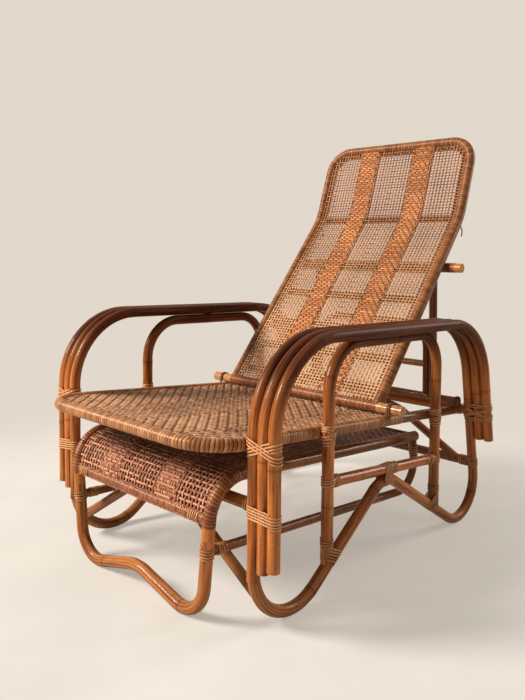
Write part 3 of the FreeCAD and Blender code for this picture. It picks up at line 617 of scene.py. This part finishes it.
def weave_tree():
    """Flat strips over a sheet that follows a bent line, each going over and under those it crosses."""
    sizes = (
        "Width", "Length", "Strip width", "Strip thickness", "Swing", "Float", "Repeat", "Zigzag", "Across",
        "Start corner", "End corner", "Keep from", "Keep to", "Ragged", "Widen", "Splay", "Lift", "Sag",
    )
    inputs = {"Line": "Geometry", "Strips": "Int", "Crossings": "Int"}
    inputs.update(dict.fromkeys(sizes, "Float"), Finish="Material")
    tree, given = new_tree("cane_weave", "GeometryNodeTree", inputs, {"Weave": "Geometry"})
    across, width, length = given["Across"], given["Width"], given["Length"]

    def either(flag, when_on, when_off):
        """Float that a flag picks."""
        wires = {0: flag, 2: when_off, 3: when_on}
        return put(tree, "ShaderNodeMix", wires, data_type="FLOAT").outputs[0]

    def counted(share, number):
        """Number of a strip or crossing from its share of the way."""
        return calc(tree, "ROUND", times(tree, share, calc(tree, "SUBTRACT", number, 1.0)))

    grid = formed(
        tree, "MeshGrid",
        {"Size X": 1.0, "Size Y": 1.0, "Vertices X": given["Strips"], "Vertices Y": given["Crossings"]},
    )
    grid_x, grid_y, _ = parts_of(tree, formed(tree, "InputPosition"))
    share_x = calc(tree, "ADD", grid_x, 0.5)
    share_y = calc(tree, "ADD", grid_y, 0.5)
    strip = counted(share_x, given["Strips"])
    crossing = counted(share_y, given["Crossings"])
    column = either(across, crossing, strip)
    row = either(across, strip, crossing)
    stepped = calc(tree, "ADD", row, calc(tree, "PINGPONG", column, given["Zigzag"]))
    cycle = calc(tree, "MODULO", stepped, given["Repeat"])
    over = calc(tree, "MULTIPLY_ADD", calc(tree, "LESS_THAN", cycle, given["Float"]), 2.0, -1.0)
    facing_up = times(tree, over, either(across, -1.0, 1.0))
    spread = calc(tree, "SUBTRACT", either(across, share_y, share_x), 0.5)
    sheet = stored(tree, grid, "wide", times(tree, spread, width))
    sheet = stored(tree, sheet, "far", times(tree, either(across, share_x, share_y), length))
    sheet = stored(tree, sheet, "over", facing_up)
    sheet = stored(tree, sheet, "strip", strip)
    ends = put(tree, "GeometryNodeInputMeshEdgeVertices").outputs
    gap = vector_calc(tree, "SUBTRACT", ends["Position 1"], ends["Position 2"])
    sideways = calc(tree, "ABSOLUTE", parts_of(tree, gap)[0])
    combed = formed(
        tree, "DeleteGeometry",
        {"Geometry": sheet, "Selection": calc(tree, "GREATER_THAN", sideways, SIDEWAYS)},
        domain="EDGE", mode="EDGE_FACE",
    )
    strips = formed(tree, "MeshToCurve", {"Mesh": combed})

    wide, far = kept(tree, "wide"), kept(tree, "far")
    on_line = put(
        tree, "GeometryNodeSampleCurve", {"Curves": bent_line(tree, given["Line"]), "Length": far},
        mode="LENGTH", data_type="FLOAT",
    ).outputs
    square = vector_calc(tree, "CROSS_PRODUCT", (1, 0, 0), on_line["Tangent"])
    strips = stored(tree, strips, "facing", square, "FLOAT_VECTOR")
    gone = calc(tree, "DIVIDE", far, length)
    open_out = calc(tree, "MULTIPLY_ADD", gone, given["Splay"], 1.0)
    across_share = calc(tree, "DIVIDE", wide, width)
    along_share = calc(tree, "SUBTRACT", gone, 0.5)
    bows = [calc(tree, "COSINE", times(tree, share, math.pi)) for share in (across_share, along_share)]
    sunk = times(tree, times(tree, *bows), given["Sag"])
    swung = calc(tree, "MULTIPLY_ADD", kept(tree, "over"), given["Swing"], given["Lift"])
    out_of_sheet = scaled(tree, square, calc(tree, "SUBTRACT", swung, sunk))
    to_side = joined(tree, times(tree, wide, open_out))
    moved = vector_calc(tree, "ADD", on_line["Position"], to_side)
    moved = vector_calc(tree, "ADD", moved, out_of_sheet)
    strips = formed(tree, "SetPosition", {"Geometry": strips, "Position": moved})

    def outside(corner, into):
        """Whether a point lies past a rounded corner of the sheet."""
        straight_half = calc(tree, "SUBTRACT", times(tree, width, 0.5), corner)
        beside = calc(tree, "SUBTRACT", calc(tree, "ABSOLUTE", wide), straight_half)
        beyond = calc(tree, "SUBTRACT", corner, into)
        squares = [calc(tree, "POWER", calc(tree, "MAXIMUM", part, 0.0), 2.0) for part in (beside, beyond)]
        limit = calc(tree, "ADD", calc(tree, "POWER", corner, 2.0), CORNER_SLACK)
        return calc(tree, "GREATER_THAN", calc(tree, "ADD", *squares), limit)

    to_end = calc(tree, "SUBTRACT", length, far)
    off = calc(tree, "MAXIMUM", outside(given["Start corner"], far), outside(given["End corner"], to_end))
    short = times(tree, random_of(tree, kept(tree, "strip")), given["Ragged"])
    before = calc(tree, "LESS_THAN", wide, calc(tree, "ADD", given["Keep from"], short))
    after = calc(tree, "GREATER_THAN", wide, calc(tree, "SUBTRACT", given["Keep to"], short))
    off = calc(tree, "MAXIMUM", off, calc(tree, "MAXIMUM", before, after))
    trimmed = formed(tree, "DeleteGeometry", {"Geometry": strips, "Selection": off}, domain="POINT")
    faced = formed(
        tree, "SetCurveNormal",
        {"Curve": trimmed, "Normal": kept(tree, "facing", "FLOAT_VECTOR")}, mode="FREE",
    )
    section = formed(
        tree, "CurvePrimitiveQuadrilateral",
        {"Width": given["Strip thickness"], "Height": given["Strip width"]}, mode="RECTANGLE",
    )
    broader = calc(tree, "MULTIPLY_ADD", calc(tree, "SUBTRACT", 0.5, along_share), given["Widen"], 1.0)
    ribbons = formed(
        tree, "CurveToMesh",
        {"Curve": faced, "Profile Curve": section, "Scale": broader, "Fill Caps": True},
    )
    cane = joined(tree, kept(tree, "strip"), far, kept(tree, "over"))
    return closed(tree, stored(tree, ribbons, "cane", cane, "FLOAT_VECTOR"), given["Finish"])


strip_tree = weave_tree()


def woven(title, body, node, line, finish, **sizes):
    """One set of parallel strips of a woven panel."""
    chain = [((0.0, y, z), bend) for y, z, bend in line]
    values = {
        "Float": 1.0, "Repeat": 2.0, "Zigzag": 1000.0, "Across": 0.0,
        "Start corner": 0.0, "End corner": 0.0, "Keep from": -1.0, "Keep to": 1.0, "Ragged": 0.0,
        "Widen": 0.0, "Splay": 0.0, "Lift": 0.0, "Sag": 0.0, "Finish": finish,
    }
    values.update({name.replace("_", " ").capitalize(): value for name, value in sizes.items()})
    stands_for(from_nodes(title, route_mesh([chain]), strip_tree, values), node, body)


def panel(title, body, node, line, canes, counts, widths, sizes, tail="", ragged=0.0):
    """Lengthwise and crosswise strips of a woven panel, each with its cane, count and width."""
    for across, way in enumerate(("warp", "weft")):
        woven(
            f"{title}_{way}{tail}", body, node, line, canes[across], strips=counts[across],
            crossings=counts[1 - across], strip_width=widths[across], across=float(across),
            ragged=ragged * across, **sizes,
        )


PAINTED_UNDER_SHADE = (0.03, 0.012, 0.005, 1)
FOOT_FROM, FOOT_TO = 0.85, 0.45


def cane_strip(title, light, deep, under_shade=0.6, foot=None):
    """Flat cane: each strip its own tone, streaked, with painted shade where it dips under another strip.

    With a foot tone, the panel goes over to it in patches towards its lower end."""
    finish, tree, shader = material(title)
    strip, _, over = parts_of(tree, painted(tree, "cane"))
    place = own_place(tree)
    broad = noise(tree, place, 9.0, 3)
    fine = noise(tree, place, 420.0, 2)
    share = calc(tree, "MULTIPLY_ADD", random_of(tree, strip), 0.5, times(tree, broad, 0.65))
    share = calc(tree, "MULTIPLY_ADD", fine, 0.3, share)
    tone = mixed(tree, ranged(tree, share, 0.35, 1.0), deep, light)
    if foot:
        low = ranged(tree, parts_of(tree, place)[2], FOOT_FROM, FOOT_TO)
        tone = mixed(tree, times(tree, low, calc(tree, "ADD", broad, 0.15)), tone, foot)
    # Painted shade: strips go towards near black where they dip under the strips they cross.
    under = times(tree, ranged(tree, over, 0.3, -1.0), under_shade)
    bump = put(tree, "ShaderNodeBump", {"Height": fine, "Distance": 0.0003, "Strength": 0.4})
    wire(tree, shader, {
        "Base Color": mixed(tree, under, tone, PAINTED_UNDER_SHADE),
        "Roughness": calc(tree, "MULTIPLY_ADD", fine, 0.25, 0.26),
        "Specular IOR Level": 0.16,
        "Specular Tint": (1.0, 0.82, 0.62, 1),
        "Normal": bump.outputs[0],
    })
    return finish


seat_cane = cane_strip("seat_cane", (0.62, 0.315, 0.155, 1), (0.095, 0.034, 0.013, 1), under_shade=1.0)
SEAT_LINE = [(*SEAT_FRONT, 0), (0.0925, 0.3186, 0)]
SEAT_STRIPS, SEAT_WIDTHS = (76, 83), (0.0047, 0.0047)
seat_sizes = dict(
    width=2 * SEAT_X, length=0.610, strip_thickness=0.0012, swing=0.0018, lift=0.0062,
    sag=0.010, start_corner=SEAT_BEND, float=2.0, repeat=4.0, zigzag=20.0,
)
panel("seat", "frame", "seat_panel", SEAT_LINE, [seat_cane] * 2, SEAT_STRIPS, SEAT_WIDTHS, seat_sizes)


# Backrest frame
# One pole bent up, over the head and down again, wound with split cane. A thin lath inside it
# and six cross rails behind the weave, each a pair of split canes, keep the weave flat.
# Lath and rails are coloured near black: painted shade behind the weave.

WINDING = 0.0062
BACK_X, LATH_X = 0.2459, 0.2266
BACK_RIM = [(0.0623, 0.3471, 0), (0.4437, 0.8148, 0.200), (0.5157, 1.0348, 0.0666)]
BACK_LATH = [(0.0641, 0.3456, 0), (0.4455, 0.8133, 0.200), (0.5118, 1.0157, 0.0473)]
BACK_RAILS = [
    (0.0954, 0.3824), (0.1473, 0.4460), (0.2007, 0.5115),
    (0.2666, 0.5924), (0.3322, 0.6728), (0.4463, 0.8127),
]
SPLIT_R, SPLIT_SPREAD = 0.0062, 0.0060
UP_BACK = (0.632, 0.775)


def arched(half_width, upright):
    """Corners of a pole that goes up one side, across and down the other."""
    rising = [(-half_width, *corner) for corner in upright]
    return rising + [(half_width, *corner) for corner in reversed(upright)]


rim_winding = wound_cane(
    "rim_winding", (0.34, 0.120, 0.034, 1), (0.11, 0.030, 0.008, 1), WINDING, dark=0.75
)
# Near-black finish for the lath and rails: painted shade seen through the back's holes.
painted_shade_lath = varnished_rattan(
    "painted_shade_lath", (0.15, 0.055, 0.020, 1), (0.060, 0.019, 0.008, 1), (0.05, 0.016, 0.007, 1), 0.3
)
bent_pole("back_frame", "backrest", arched(BACK_X, BACK_RIM), 0.0132, rim_winding,
          winding=WINDING, ridge=0.0011)
bent_pole("back_inner_lath", "backrest", arched(LATH_X, BACK_LATH), 0.006, painted_shade_lath, swell=0.0)
for count, (y, z) in enumerate(BACK_RAILS, 1):
    for shift in (-SPLIT_SPREAD, SPLIT_SPREAD):
        place = (y + UP_BACK[0] * shift, z + UP_BACK[1] * shift)
        bent_pole(f"back_rail_{count}", "backrest", straight(LATH_X, place), SPLIT_R, painted_shade_lath, swell=0.0)


# Woven back
# An open square weave of cane, stretched over the frame's front, whose strips are broader and paler
# towards the foot. Two dense herringbone stripes with uneven edges run up it.

back_cane = cane_strip("back_cane", (0.42, 0.175, 0.075, 1), (0.15, 0.050, 0.018, 1), under_shade=0.7,
                       foot=(0.66, 0.36, 0.18, 1))
stripe_cane = cane_strip("stripe_cane", (0.68, 0.28, 0.110, 1), (0.27, 0.082, 0.026, 1), under_shade=0.97)
stripe_base = cane_strip("stripe_base", (0.40, 0.14, 0.044, 1), (0.16, 0.046, 0.014, 1), under_shade=0.97)
BACK_LINE = [(0.0577, 0.3509, 0), (0.4391, 0.8185, 0.194), (0.5099, 1.0367, 0)]
BACK_STRIPS, BACK_WIDTHS = (48, 95), (0.0039, 0.0033)
back_sizes = dict(width=2 * BACK_X - 0.006, length=0.832, strip_thickness=0.001)
open_sizes = dict(back_sizes, end_corner=0.064, swing=0.0008, widen=0.4)
panel("back", "backrest", "back_panel", BACK_LINE, [back_cane] * 2, BACK_STRIPS, BACK_WIDTHS, open_sizes)
STRIPE_INNER, STRIPE_OUTER = 0.055, 0.133
STRIPE_WIDTHS, STRIPE_RAGGED = (0.0046, 0.0054), 0.012
stripe_twill = dict(lift=0.0012, swing=0.0012, repeat=3.0, zigzag=6.0)


def stripes(title, body, node, line, canes, counts, sizes):
    """Dense herringbone stripe at each side of a woven panel, its crosswise strips uneven in length."""
    for name, side in SIDES.items():
        keep_from, keep_to = sorted((side * STRIPE_INNER, side * STRIPE_OUTER))
        both = dict(sizes, **stripe_twill, keep_from=keep_from, keep_to=keep_to)
        panel(title, body, node, line, canes, counts, STRIPE_WIDTHS, both, f"_{name}", STRIPE_RAGGED)


stripes("stripe", "backrest", "back_panel", BACK_LINE, [stripe_base, stripe_cane], (72, 118), back_sizes)


# Back pivot
# A round bar closes the foot of the backrest. Its middle is wound with cane,
# and its bare ends step down to pegs that turn in cane loops on the seat frame.

red_winding = wound_cane(
    "red_winding", (0.36, 0.115, 0.038, 1), (0.12, 0.034, 0.011, 1), WINDING
)
peg_pole = varnished_rattan(
    "peg_pole", (0.54, 0.25, 0.095, 1), (0.30, 0.115, 0.038, 1), (0.34, 0.12, 0.040, 1), 0.5
)
PIVOT = (0.0623, 0.3471)
BAR_STEPS = {0.2627: 0.0129, 0.320: 0.0123}
bent_pole("back_pivot_bar", "backrest", straight(0.250, PIVOT), 0.0134, red_winding,
          winding=WINDING, ridge=0.0008)
for half, radius in BAR_STEPS.items():
    bent_pole("back_pivot_bar", "backrest", straight(half, PIVOT), radius, peg_pole, swell=0.0)


# Prop
# The frame that holds the back up: two legs and a small arch on a foot bar,
# and a top bar behind the backrest whose ends stand out at both sides.

PROP_FOOT, PROP_TOP = (0.3824, 0.3191), (0.3658, 0.6776)
LEG_FOOT_X, LEG_TOP = 0.2119, (0.1999, 0.3901, 0.6956)
TOP_BAR_FAR, TOP_BAR_NEAR = -0.2820, 0.2989
bent_pole("prop_foot_bar", "prop", straight(0.2924, PROP_FOOT), 0.010, brown_pole)


def mirror(corners, side=-1):
    """Corners on one side of the chair."""
    return [(side * x, *rest) for x, *rest in corners]


for name, side in SIDES.items():
    leg = mirror([(LEG_FOOT_X, *PROP_FOOT, 0), (*LEG_TOP, 0)], side)
    bent_pole(f"prop_leg_{name}", "prop", leg, 0.011, brown_pole)
top_bar = [(TOP_BAR_FAR, *PROP_TOP, 0), (TOP_BAR_NEAR, *PROP_TOP, 0)]
bent_pole("prop_top_bar", "prop", top_bar, 0.0123, peg_pole)
bent_pole("prop_top_bar", "prop", straight(0.2790, PROP_TOP), 0.0131, red_winding,
          winding=WINDING, ridge=0.0008)
prop_arch = [(0.1911, *PROP_FOOT, 0), (0.1847, 0.3865, 0.520, 0.071)]
bent_pole("prop_arch", "prop", prop_arch + mirror(reversed(prop_arch)), 0.0095, brown_pole)
bent_pole("prop_rail", "prop", straight(0.1883, (0.3842, 0.408)), 0.0092, peg_pole)


# Footrest frame
# One pole makes the footrest's sides, front legs and waved foot. It is wound with cane round the
# front bend down to the edge rail, and bare elsewhere. A runner each side ties the legs to the rear.

FOOTREST_R, RUNNER_R = 0.013, 0.010
FOOTREST_Y = -0.4595
FOOTREST_REAR, FOOTREST_BEND = (0.2430, 0.2425, 0.2420, 0), (0.2360, FOOTREST_Y, 0.2896, 0.075)
FOOTREST_FOOT = (0.2063, FOOTREST_Y, -0.0064, 0.0665)
WOUND_FROM = (0.2373, -0.3300, 0.2808, 0)
EDGE_RAIL, RUNNER_Z = (FOOTREST_Y, 0.209), 0.145


def leg_at(z):
    """Corner on the line of the footrest's leg at a height."""
    share = (FOOTREST_BEND[2] - z) / (FOOTREST_BEND[2] - FOOTREST_FOOT[2])
    return (FOOTREST_BEND[0] + share * (FOOTREST_FOOT[0] - FOOTREST_BEND[0]), FOOTREST_Y, z, 0)


leg = [leg_at(0.172), FOOTREST_FOOT]
wave = leg + [(0, FOOTREST_Y, 0.0506, 0.112)] + mirror(reversed(leg))
bent_pole("footrest_frame", "footrest", wave, FOOTREST_R, honey_pole)
for side in SIDES.values():
    rear = mirror([FOOTREST_REAR, WOUND_FROM], side)
    bent_pole("footrest_frame", "footrest", rear, FOOTREST_R, brown_pole)
    wound = mirror([WOUND_FROM, FOOTREST_BEND, leg_at(0.197)], side)
    bent_pole("footrest_frame", "footrest", wound, 0.0135, red_winding, winding=WINDING, ridge=0.001)
    bare = mirror([leg_at(0.199), leg_at(0.170)], side)
    bent_pole("footrest_frame", "footrest", bare, FOOTREST_R, honey_pole, swell=0.0)
bent_pole("footrest_edge_rail", "footrest", straight(0.2279, EDGE_RAIL), 0.0105, red_winding,
          winding=WINDING, ridge=0.0008)
bent_pole("footrest_rear_rail", "footrest", straight(0.243, (0.2275, 0.243)), RUNNER_R, brown_pole)
runner = [leg_at(RUNNER_Z), (0.2430, 0.2475, 0.106, 0.065), (0.2430, 0.2325, 0.242, 0)]
for name, side in SIDES.items():
    bent_pole(f"footrest_runner_{name}", "footrest", mirror(runner, side), RUNNER_R, brown_pole)


# Woven footrest
# The same open weave and stripes as the back, from the edge rail up over the bend to the rear rail.
# Near-black flat strips just inside the bend are painted shade that darkens the holes there, and a row of
# upright stitches hems the edge rail.

footrest_cane = cane_strip("footrest_cane", (0.60, 0.26, 0.145, 1), (0.17, 0.050, 0.022, 1), under_shade=0.8)
FOOTREST_LINE = [(-0.4645, 0.209, 0), (-0.4645, 0.2946, 0.080), (0.2275, 0.2480, 0)]
FOOTREST_STRIPS, FOOTREST_WIDTHS = (46, 69), (0.0046, 0.0044)
footrest_sizes = dict(width=0.458, length=0.750, strip_thickness=0.0011, splay=0.066)
panel("footrest", "footrest", "footrest_panel", FOOTREST_LINE, [footrest_cane] * 2, FOOTREST_STRIPS,
      FOOTREST_WIDTHS, dict(footrest_sizes, swing=0.0009))
# Painted shade: a sheet of near-black strips under the bend, so that the holes above it look dark.
PAINTED_SHADE_LINE = [(-0.4590, 0.212, 0), (-0.4590, 0.2891, 0.074), (-0.2400, 0.2742, 0)]
footrest_painted_shade = cane_strip("footrest_painted_shade", (0.030, 0.012, 0.006, 1), (0.012, 0.005, 0.002, 1))
woven("footrest_painted_shade", "footrest", "footrest_panel", PAINTED_SHADE_LINE, footrest_painted_shade, strips=40,
      crossings=30, strip_width=0.0108, swing=0.0, strip_thickness=0.0008, width=0.440, length=0.250)
HEM_LINE = [(-0.4665, 0.198, 0), (-0.4665, 0.2946, 0.082), (-0.4300, 0.2946, 0)]
woven("footrest_hem", "footrest", "footrest_panel", HEM_LINE, footrest_cane, strips=92, crossings=5,
      strip_width=0.0036, swing=0.0006, strip_thickness=0.0012, width=0.440, length=0.024)
stripes("footrest_stripe", "footrest", "footrest_panel", FOOTREST_LINE, [footrest_cane] * 2, (66, 104),
        footrest_sizes)


# Lashings
# Where poles meet they are tied with split cane: turn beside turn round a post,
# and slanting or crossed turns round the three poles of an arm.

STRIP_WIDTH, STRIP_THICKNESS, STRIP_PITCH = 0.0043, 0.0021, 0.0056
STRIP_FACES, STEPS_ROUND = 8, 26
NO_JOINTS = 9.0


def binding_tree():
    """Flat strip along each chain, its broad side kept against the poles that it goes round."""
    inputs = {"Path": "Geometry", "Width": "Float", "Thickness": "Float", "Finish": "Material"}
    tree, given = new_tree("cane_binding", "GeometryNodeTree", inputs, {"Strips": "Geometry"})
    path = formed(tree, "MeshToCurve", {"Mesh": given["Path"]})
    length = put(tree, "GeometryNodeSplineParameter").outputs["Length"]
    wires = {
        "Curve": stored(tree, path, "along", length),
        "Normal": kept(tree, "outward", "FLOAT_VECTOR"),
    }
    faced = formed(tree, "SetCurveNormal", wires, mode="FREE")
    wires = {"Resolution": STRIP_FACES, "Radius": 0.5}
    circle = formed(tree, "CurvePrimitiveCircle", wires)
    flat = joined(tree, given["Thickness"], given["Width"], 1.0)
    section = formed(tree, "Transform", {"Geometry": circle, "Scale": flat})
    strips = swept(tree, faced, section)
    smooth = formed(tree, "SetShadeSmooth", {"Geometry": strips})
    return closed(tree, smooth, given["Finish"])


binding_strips = binding_tree()
binding_cane = varnished_rattan(
    "binding_cane", (0.70, 0.33, 0.135, 1), (0.42, 0.17, 0.062, 1), (0.25, 0.10, 0.043, 1), 0.4,
    gap=NO_JOINTS, edge=STRIP_WIDTH / 2,
)


def winding(middle, axis, row, half, radius, tall, turns, tilt=0.0, flare=0.0):
    """Places and outward directions of a strip wound round poles side by side, or spreading by a flare."""
    middle, axis, row = Vector(middle), Vector(axis).normalized(), Vector(row)
    row = (row - axis * row.dot(axis)).normalized()
    square = axis.cross(row)
    bow = math.pi * radius
    steps = round(turns * STEPS_ROUND)
    chain = []
    for step in range(steps + 1):
        share = step / steps
        rise = tall * (share - 0.5)
        reach = half + flare * rise
        gone = (share * turns % 1.0) * (2 * bow + 4 * reach)
        if gone < bow:
            angle, shift = gone / radius - math.pi / 2, reach
        elif gone < bow + 2 * reach:
            angle, shift = math.pi / 2, reach - (gone - bow)
        elif gone < 2 * bow + 2 * reach:
            angle, shift = (gone - bow - 2 * reach) / radius + math.pi / 2, -reach
        else:
            angle, shift = -math.pi / 2, gone - 2 * bow - 3 * reach
        outward = row * math.cos(angle) + square * math.sin(angle)
        sideways = shift + radius * math.cos(angle)
        rise += tilt * sideways / (reach + radius)
        chain.append((middle + row * shift + outward * radius + axis * rise, outward))
    return chain


def lashing(title, body, node, chains, finish=binding_cane):
    """Cane strips along wound chains, in place of a plain band."""
    values = {"Width": STRIP_WIDTH, "Thickness": STRIP_THICKNESS, "Finish": finish}
    made = from_nodes(title, route_mesh(chains, "outward"), binding_strips, values)
    stands_for(made, node, body)


UPRIGHT, LEVEL, FORE_AFT = (0, 0, 1), (1, 0, 0), (0, 1, 0)


def ring(middle, axis, radius, tall, half=0.0, row=LEVEL, tilt=0.0, flare=0.0):
    """Close winding whose turns lie side by side."""
    turns = max(2, round(tall / STRIP_PITCH))
    return winding(middle, axis, row, half, radius + STRIP_THICKNESS * 0.3, tall, turns, tilt, flare)


def fork_tie(x, y, z, lean, tall=0.030, from_fork=0.022):
    """Winding round an upright post and the pole that it stands on, which leans away by an angle."""
    bisector = Vector((0, math.sin(lean / 2), math.cos(lean / 2)))
    flare = math.tan(abs(lean) / 2)
    middle = Vector((x, y, z)) + bisector * from_fork
    return ring(middle, bisector, POST_R, tall, half=flare * from_fork, row=FORE_AFT, flare=flare)


ARM_TIE_Z, ARM_CROSS = 0.3594, 0.013
REAR_BAND = 0.0190
REAR_LEG_AXIS = (0, ARM_REAR_END[0] - ARM_REAR[0], ARM_REAR_END[1] - ARM_REAR[1])
STRETCHER_AXIS, COLLAR_IN, COLLAR_DROP = (0, 0.4325, -0.040), 0.025, 0.0023
POST_TIES = (
    (FRONT_POST_Y, 0.3420, FRONT_STRETCHER_Z, 1),
    (REAR_POST_Y, 0.3075, REAR_STRETCHER_Z, -1),
)
POST_BAND, POST_CROSS = 0.0165, 0.009
for name, side in SIDES.items():
    row_x = side * (HOOP_X + ARM_PITCH)
    high, low = (row_x, FRONT_Y, ARM_TIE_Z), (row_x, FRONT_Y, FRONT_RAIL[1])
    chains = [
        ring(high, UPRIGHT, POLE_R, 0.019, ARM_PITCH, tilt=side * ARM_CROSS),
        ring(high, UPRIGHT, POLE_R + 0.0012, 0.019, ARM_PITCH, tilt=side * -ARM_CROSS),
        ring(low, UPRIGHT, POLE_R, 0.027, ARM_PITCH, tilt=side * -0.003),
    ]
    rear = Vector((row_x, *REAR_RAIL))
    for shift in (-REAR_BAND, REAR_BAND):
        end = rear + Vector(REAR_LEG_AXIS).normalized() * shift
        chains.append(ring(end, REAR_LEG_AXIS, POLE_R, 0.011, ARM_PITCH))
    for tilt, lift in ((-ARM_CROSS, 0.0015), (ARM_CROSS, 0.0006)):
        chains.append(ring(rear, REAR_LEG_AXIS, POLE_R + lift, 0.009, ARM_PITCH, tilt=tilt))
    lashing(f"arm_ties_{name}", "frame", f"arm_lashings_{name}", chains)
    x = side * HOOP_X
    posts = []
    for y, seat_z, stretcher_z, inward in POST_TIES:
        for shift in (-POST_BAND, POST_BAND):
            posts.append(ring((x, y, seat_z + shift), UPRIGHT, POST_R, 0.011))
        for tilt, lift in ((-POST_CROSS, 0.0004), (POST_CROSS, 0.0014)):
            posts.append(ring((x, y, seat_z), UPRIGHT, POST_R + lift, 0.011, tilt=tilt, row=FORE_AFT))
        posts.append(ring((x, y, stretcher_z), UPRIGHT, POST_R, 0.022))
        collar = (x, y + inward * COLLAR_IN, stretcher_z - COLLAR_DROP * inward)
        posts.append(ring(collar, STRETCHER_AXIS, STRETCHER_R, 0.017))
    lashing(f"post_ties_{name}", "frame", f"post_lashings_{name}", posts)

BRACE_TIE_FRONT, BRACE_TIE_REAR = (0, -0.3951, 0.2236), (0, 0.4138, 0.2814)
HUMP_TIE, HUMP_COLLAR = (0.0105, 0.2077), (0.0430, 0.2175)
FRONT_FORK, FRONT_LEAN = (FRONT_POST_Y, 0.0619), math.radians(54.6)
REAR_FORK, REAR_LEAN = (REAR_POST_Y, 0.0723), math.radians(-58.4)
RAIL_COLLAR_X, LOW_COLLAR_X = 0.2740, 0.2821
SEAT_COLLAR, SEAT_AXIS = (0.4040, 0.2938), (0, 0.3136, -0.025)
chains = [
    ring(BRACE_TIE_FRONT, LEVEL, CROSS_R, 0.024, half=0.0119, row=UPRIGHT),
    ring(BRACE_TIE_REAR, LEVEL, CROSS_R, 0.024, half=0.0121, row=(0, -0.0044, 0.0238)),
]
for side in SIDES.values():
    x = side * HOOP_X
    chains += [
        ring((x, *HUMP_TIE), FORE_AFT, POLE_R, 0.034, half=0.0128, row=UPRIGHT, tilt=0.006),
        ring((x, *HUMP_COLLAR), STRETCHER_AXIS, STRETCHER_R, 0.017),
        ring((x, FRONT_POST_Y, 0.1130), UPRIGHT, POST_R, 0.017),
        fork_tie(x, *FRONT_FORK, FRONT_LEAN),
        ring((x, REAR_POST_Y, 0.1230), UPRIGHT, POST_R, 0.017),
        fork_tie(x, *REAR_FORK, REAR_LEAN),
        ring((x, 0.4390, 0.1450), (0, -0.115, 0.6205), POLE_R, 0.024),
        ring((side * LOW_COLLAR_X, *LOW_RAIL), LEVEL, 0.0128, 0.024, row=UPRIGHT),
        ring((side * RAIL_COLLAR_X, *FRONT_RAIL), LEVEL, 0.0128, 0.022, row=UPRIGHT),
        ring((side * RAIL_COLLAR_X, *REAR_RAIL), LEVEL, 0.0130, 0.024, row=UPRIGHT),
        ring((side * SEAT_X, *SEAT_COLLAR), SEAT_AXIS, CROSS_R, 0.018),
    ]
lashing("low_ties", "frame", "low_lashings", chains)

EDGE_COLLAR_X = 0.1909
RUNNER_TIE, RUNNER_AXIS = (0.2226, -0.4250, 0.1431), (0.03, 1, -0.055)
REAR_TIE, REAR_TIE_AXIS = (0.243, 0.2365, 0.206), (0, -0.015, 0.136)
chains = []
for side in SIDES.values():
    leg_axis = (side * (FOOTREST_BEND[0] - FOOTREST_FOOT[0]), 0, FOOTREST_BEND[2] - FOOTREST_FOOT[2])
    leg_tie, runner_tie, rear_tie = mirror([leg_at(RUNNER_Z)[:3], RUNNER_TIE, REAR_TIE], side)
    chains += [
        ring(leg_tie, leg_axis, FOOTREST_R, 0.024),
        ring(runner_tie, RUNNER_AXIS, RUNNER_R, 0.024),
        ring(rear_tie, REAR_TIE_AXIS, RUNNER_R, 0.030),
        ring((side * EDGE_COLLAR_X, *EDGE_RAIL), LEVEL, 0.0108, 0.030, row=UPRIGHT),
    ]
lashing("footrest_ties", "footrest", "footrest_lashings", chains)


# Peg loops and hooks
# A strap of cane over each peg holds it down on the seat frame and lets it turn. Two wire hooks
# behind the backrest take the prop's top bar when the back is let down.

LOOP_X, LOOP_SHIFT = 0.2865, 0.0023
LOOP_STEPS, LOOP_DROP = 12, 0.004
LOOPS = (
    ("back_peg_straps", "back_pivot_loops", PIVOT, 0.0145),
    ("prop_peg_straps", "prop_pivot_loops", PROP_FOOT, 0.0120),
)
dark_loop = varnished_rattan(
    "dark_loop", (0.19, 0.074, 0.028, 1), (0.085, 0.030, 0.011, 1), (0.06, 0.022, 0.010, 1), 0.3,
    gap=NO_JOINTS, edge=STRIP_WIDTH / 2,
)


def strap(x, centre, radius):
    """Places and outward directions of one strip over a peg, from the seat frame and back to it."""
    y, z = centre
    foot = z - radius - LOOP_DROP
    chain = [((x, y + radius, foot), (0, 1, 0))]
    for step in range(LOOP_STEPS + 1):
        angle = math.pi * step / LOOP_STEPS
        outward = Vector((0, math.cos(angle), math.sin(angle)))
        chain.append((Vector((x, y, z)) + outward * radius, outward))
    return chain + [((x, y - radius, foot), (0, -1, 0))]


for title, node, centre, radius in LOOPS:
    places = [side * (LOOP_X + shift) for side in SIDES.values() for shift in (-LOOP_SHIFT, LOOP_SHIFT)]
    lashing(title, "frame", node, [strap(x, centre, radius) for x in places], dark_loop)

WIRE_R = 0.0016
WIRE_ROUTE = [(0.4340, 0.8029, 0), (0.4662, 0.7767, 0.0152), (0.4556, 0.7637, 0)]
IRON, RUST = (0.045, 0.040, 0.036, 1), (0.11, 0.048, 0.022, 1)
hook_wire, tree, shader = material("hook_wire")
rust = noise(tree, own_place(tree), 260.0, 3)
wire(tree, shader, {
    "Base Color": mixed(tree, ranged(tree, rust, 0.45, 0.7), IRON, RUST),
    "Roughness": calc(tree, "MULTIPLY_ADD", rust, 0.4, 0.25),
    "Metallic": 0.8,
})
for side in SIDES.values():
    hook = [(side * BACK_X, *corner) for corner in WIRE_ROUTE]
    bent_pole("prop_hooks", "backrest", hook, WIRE_R, hook_wire, swell=0.0)
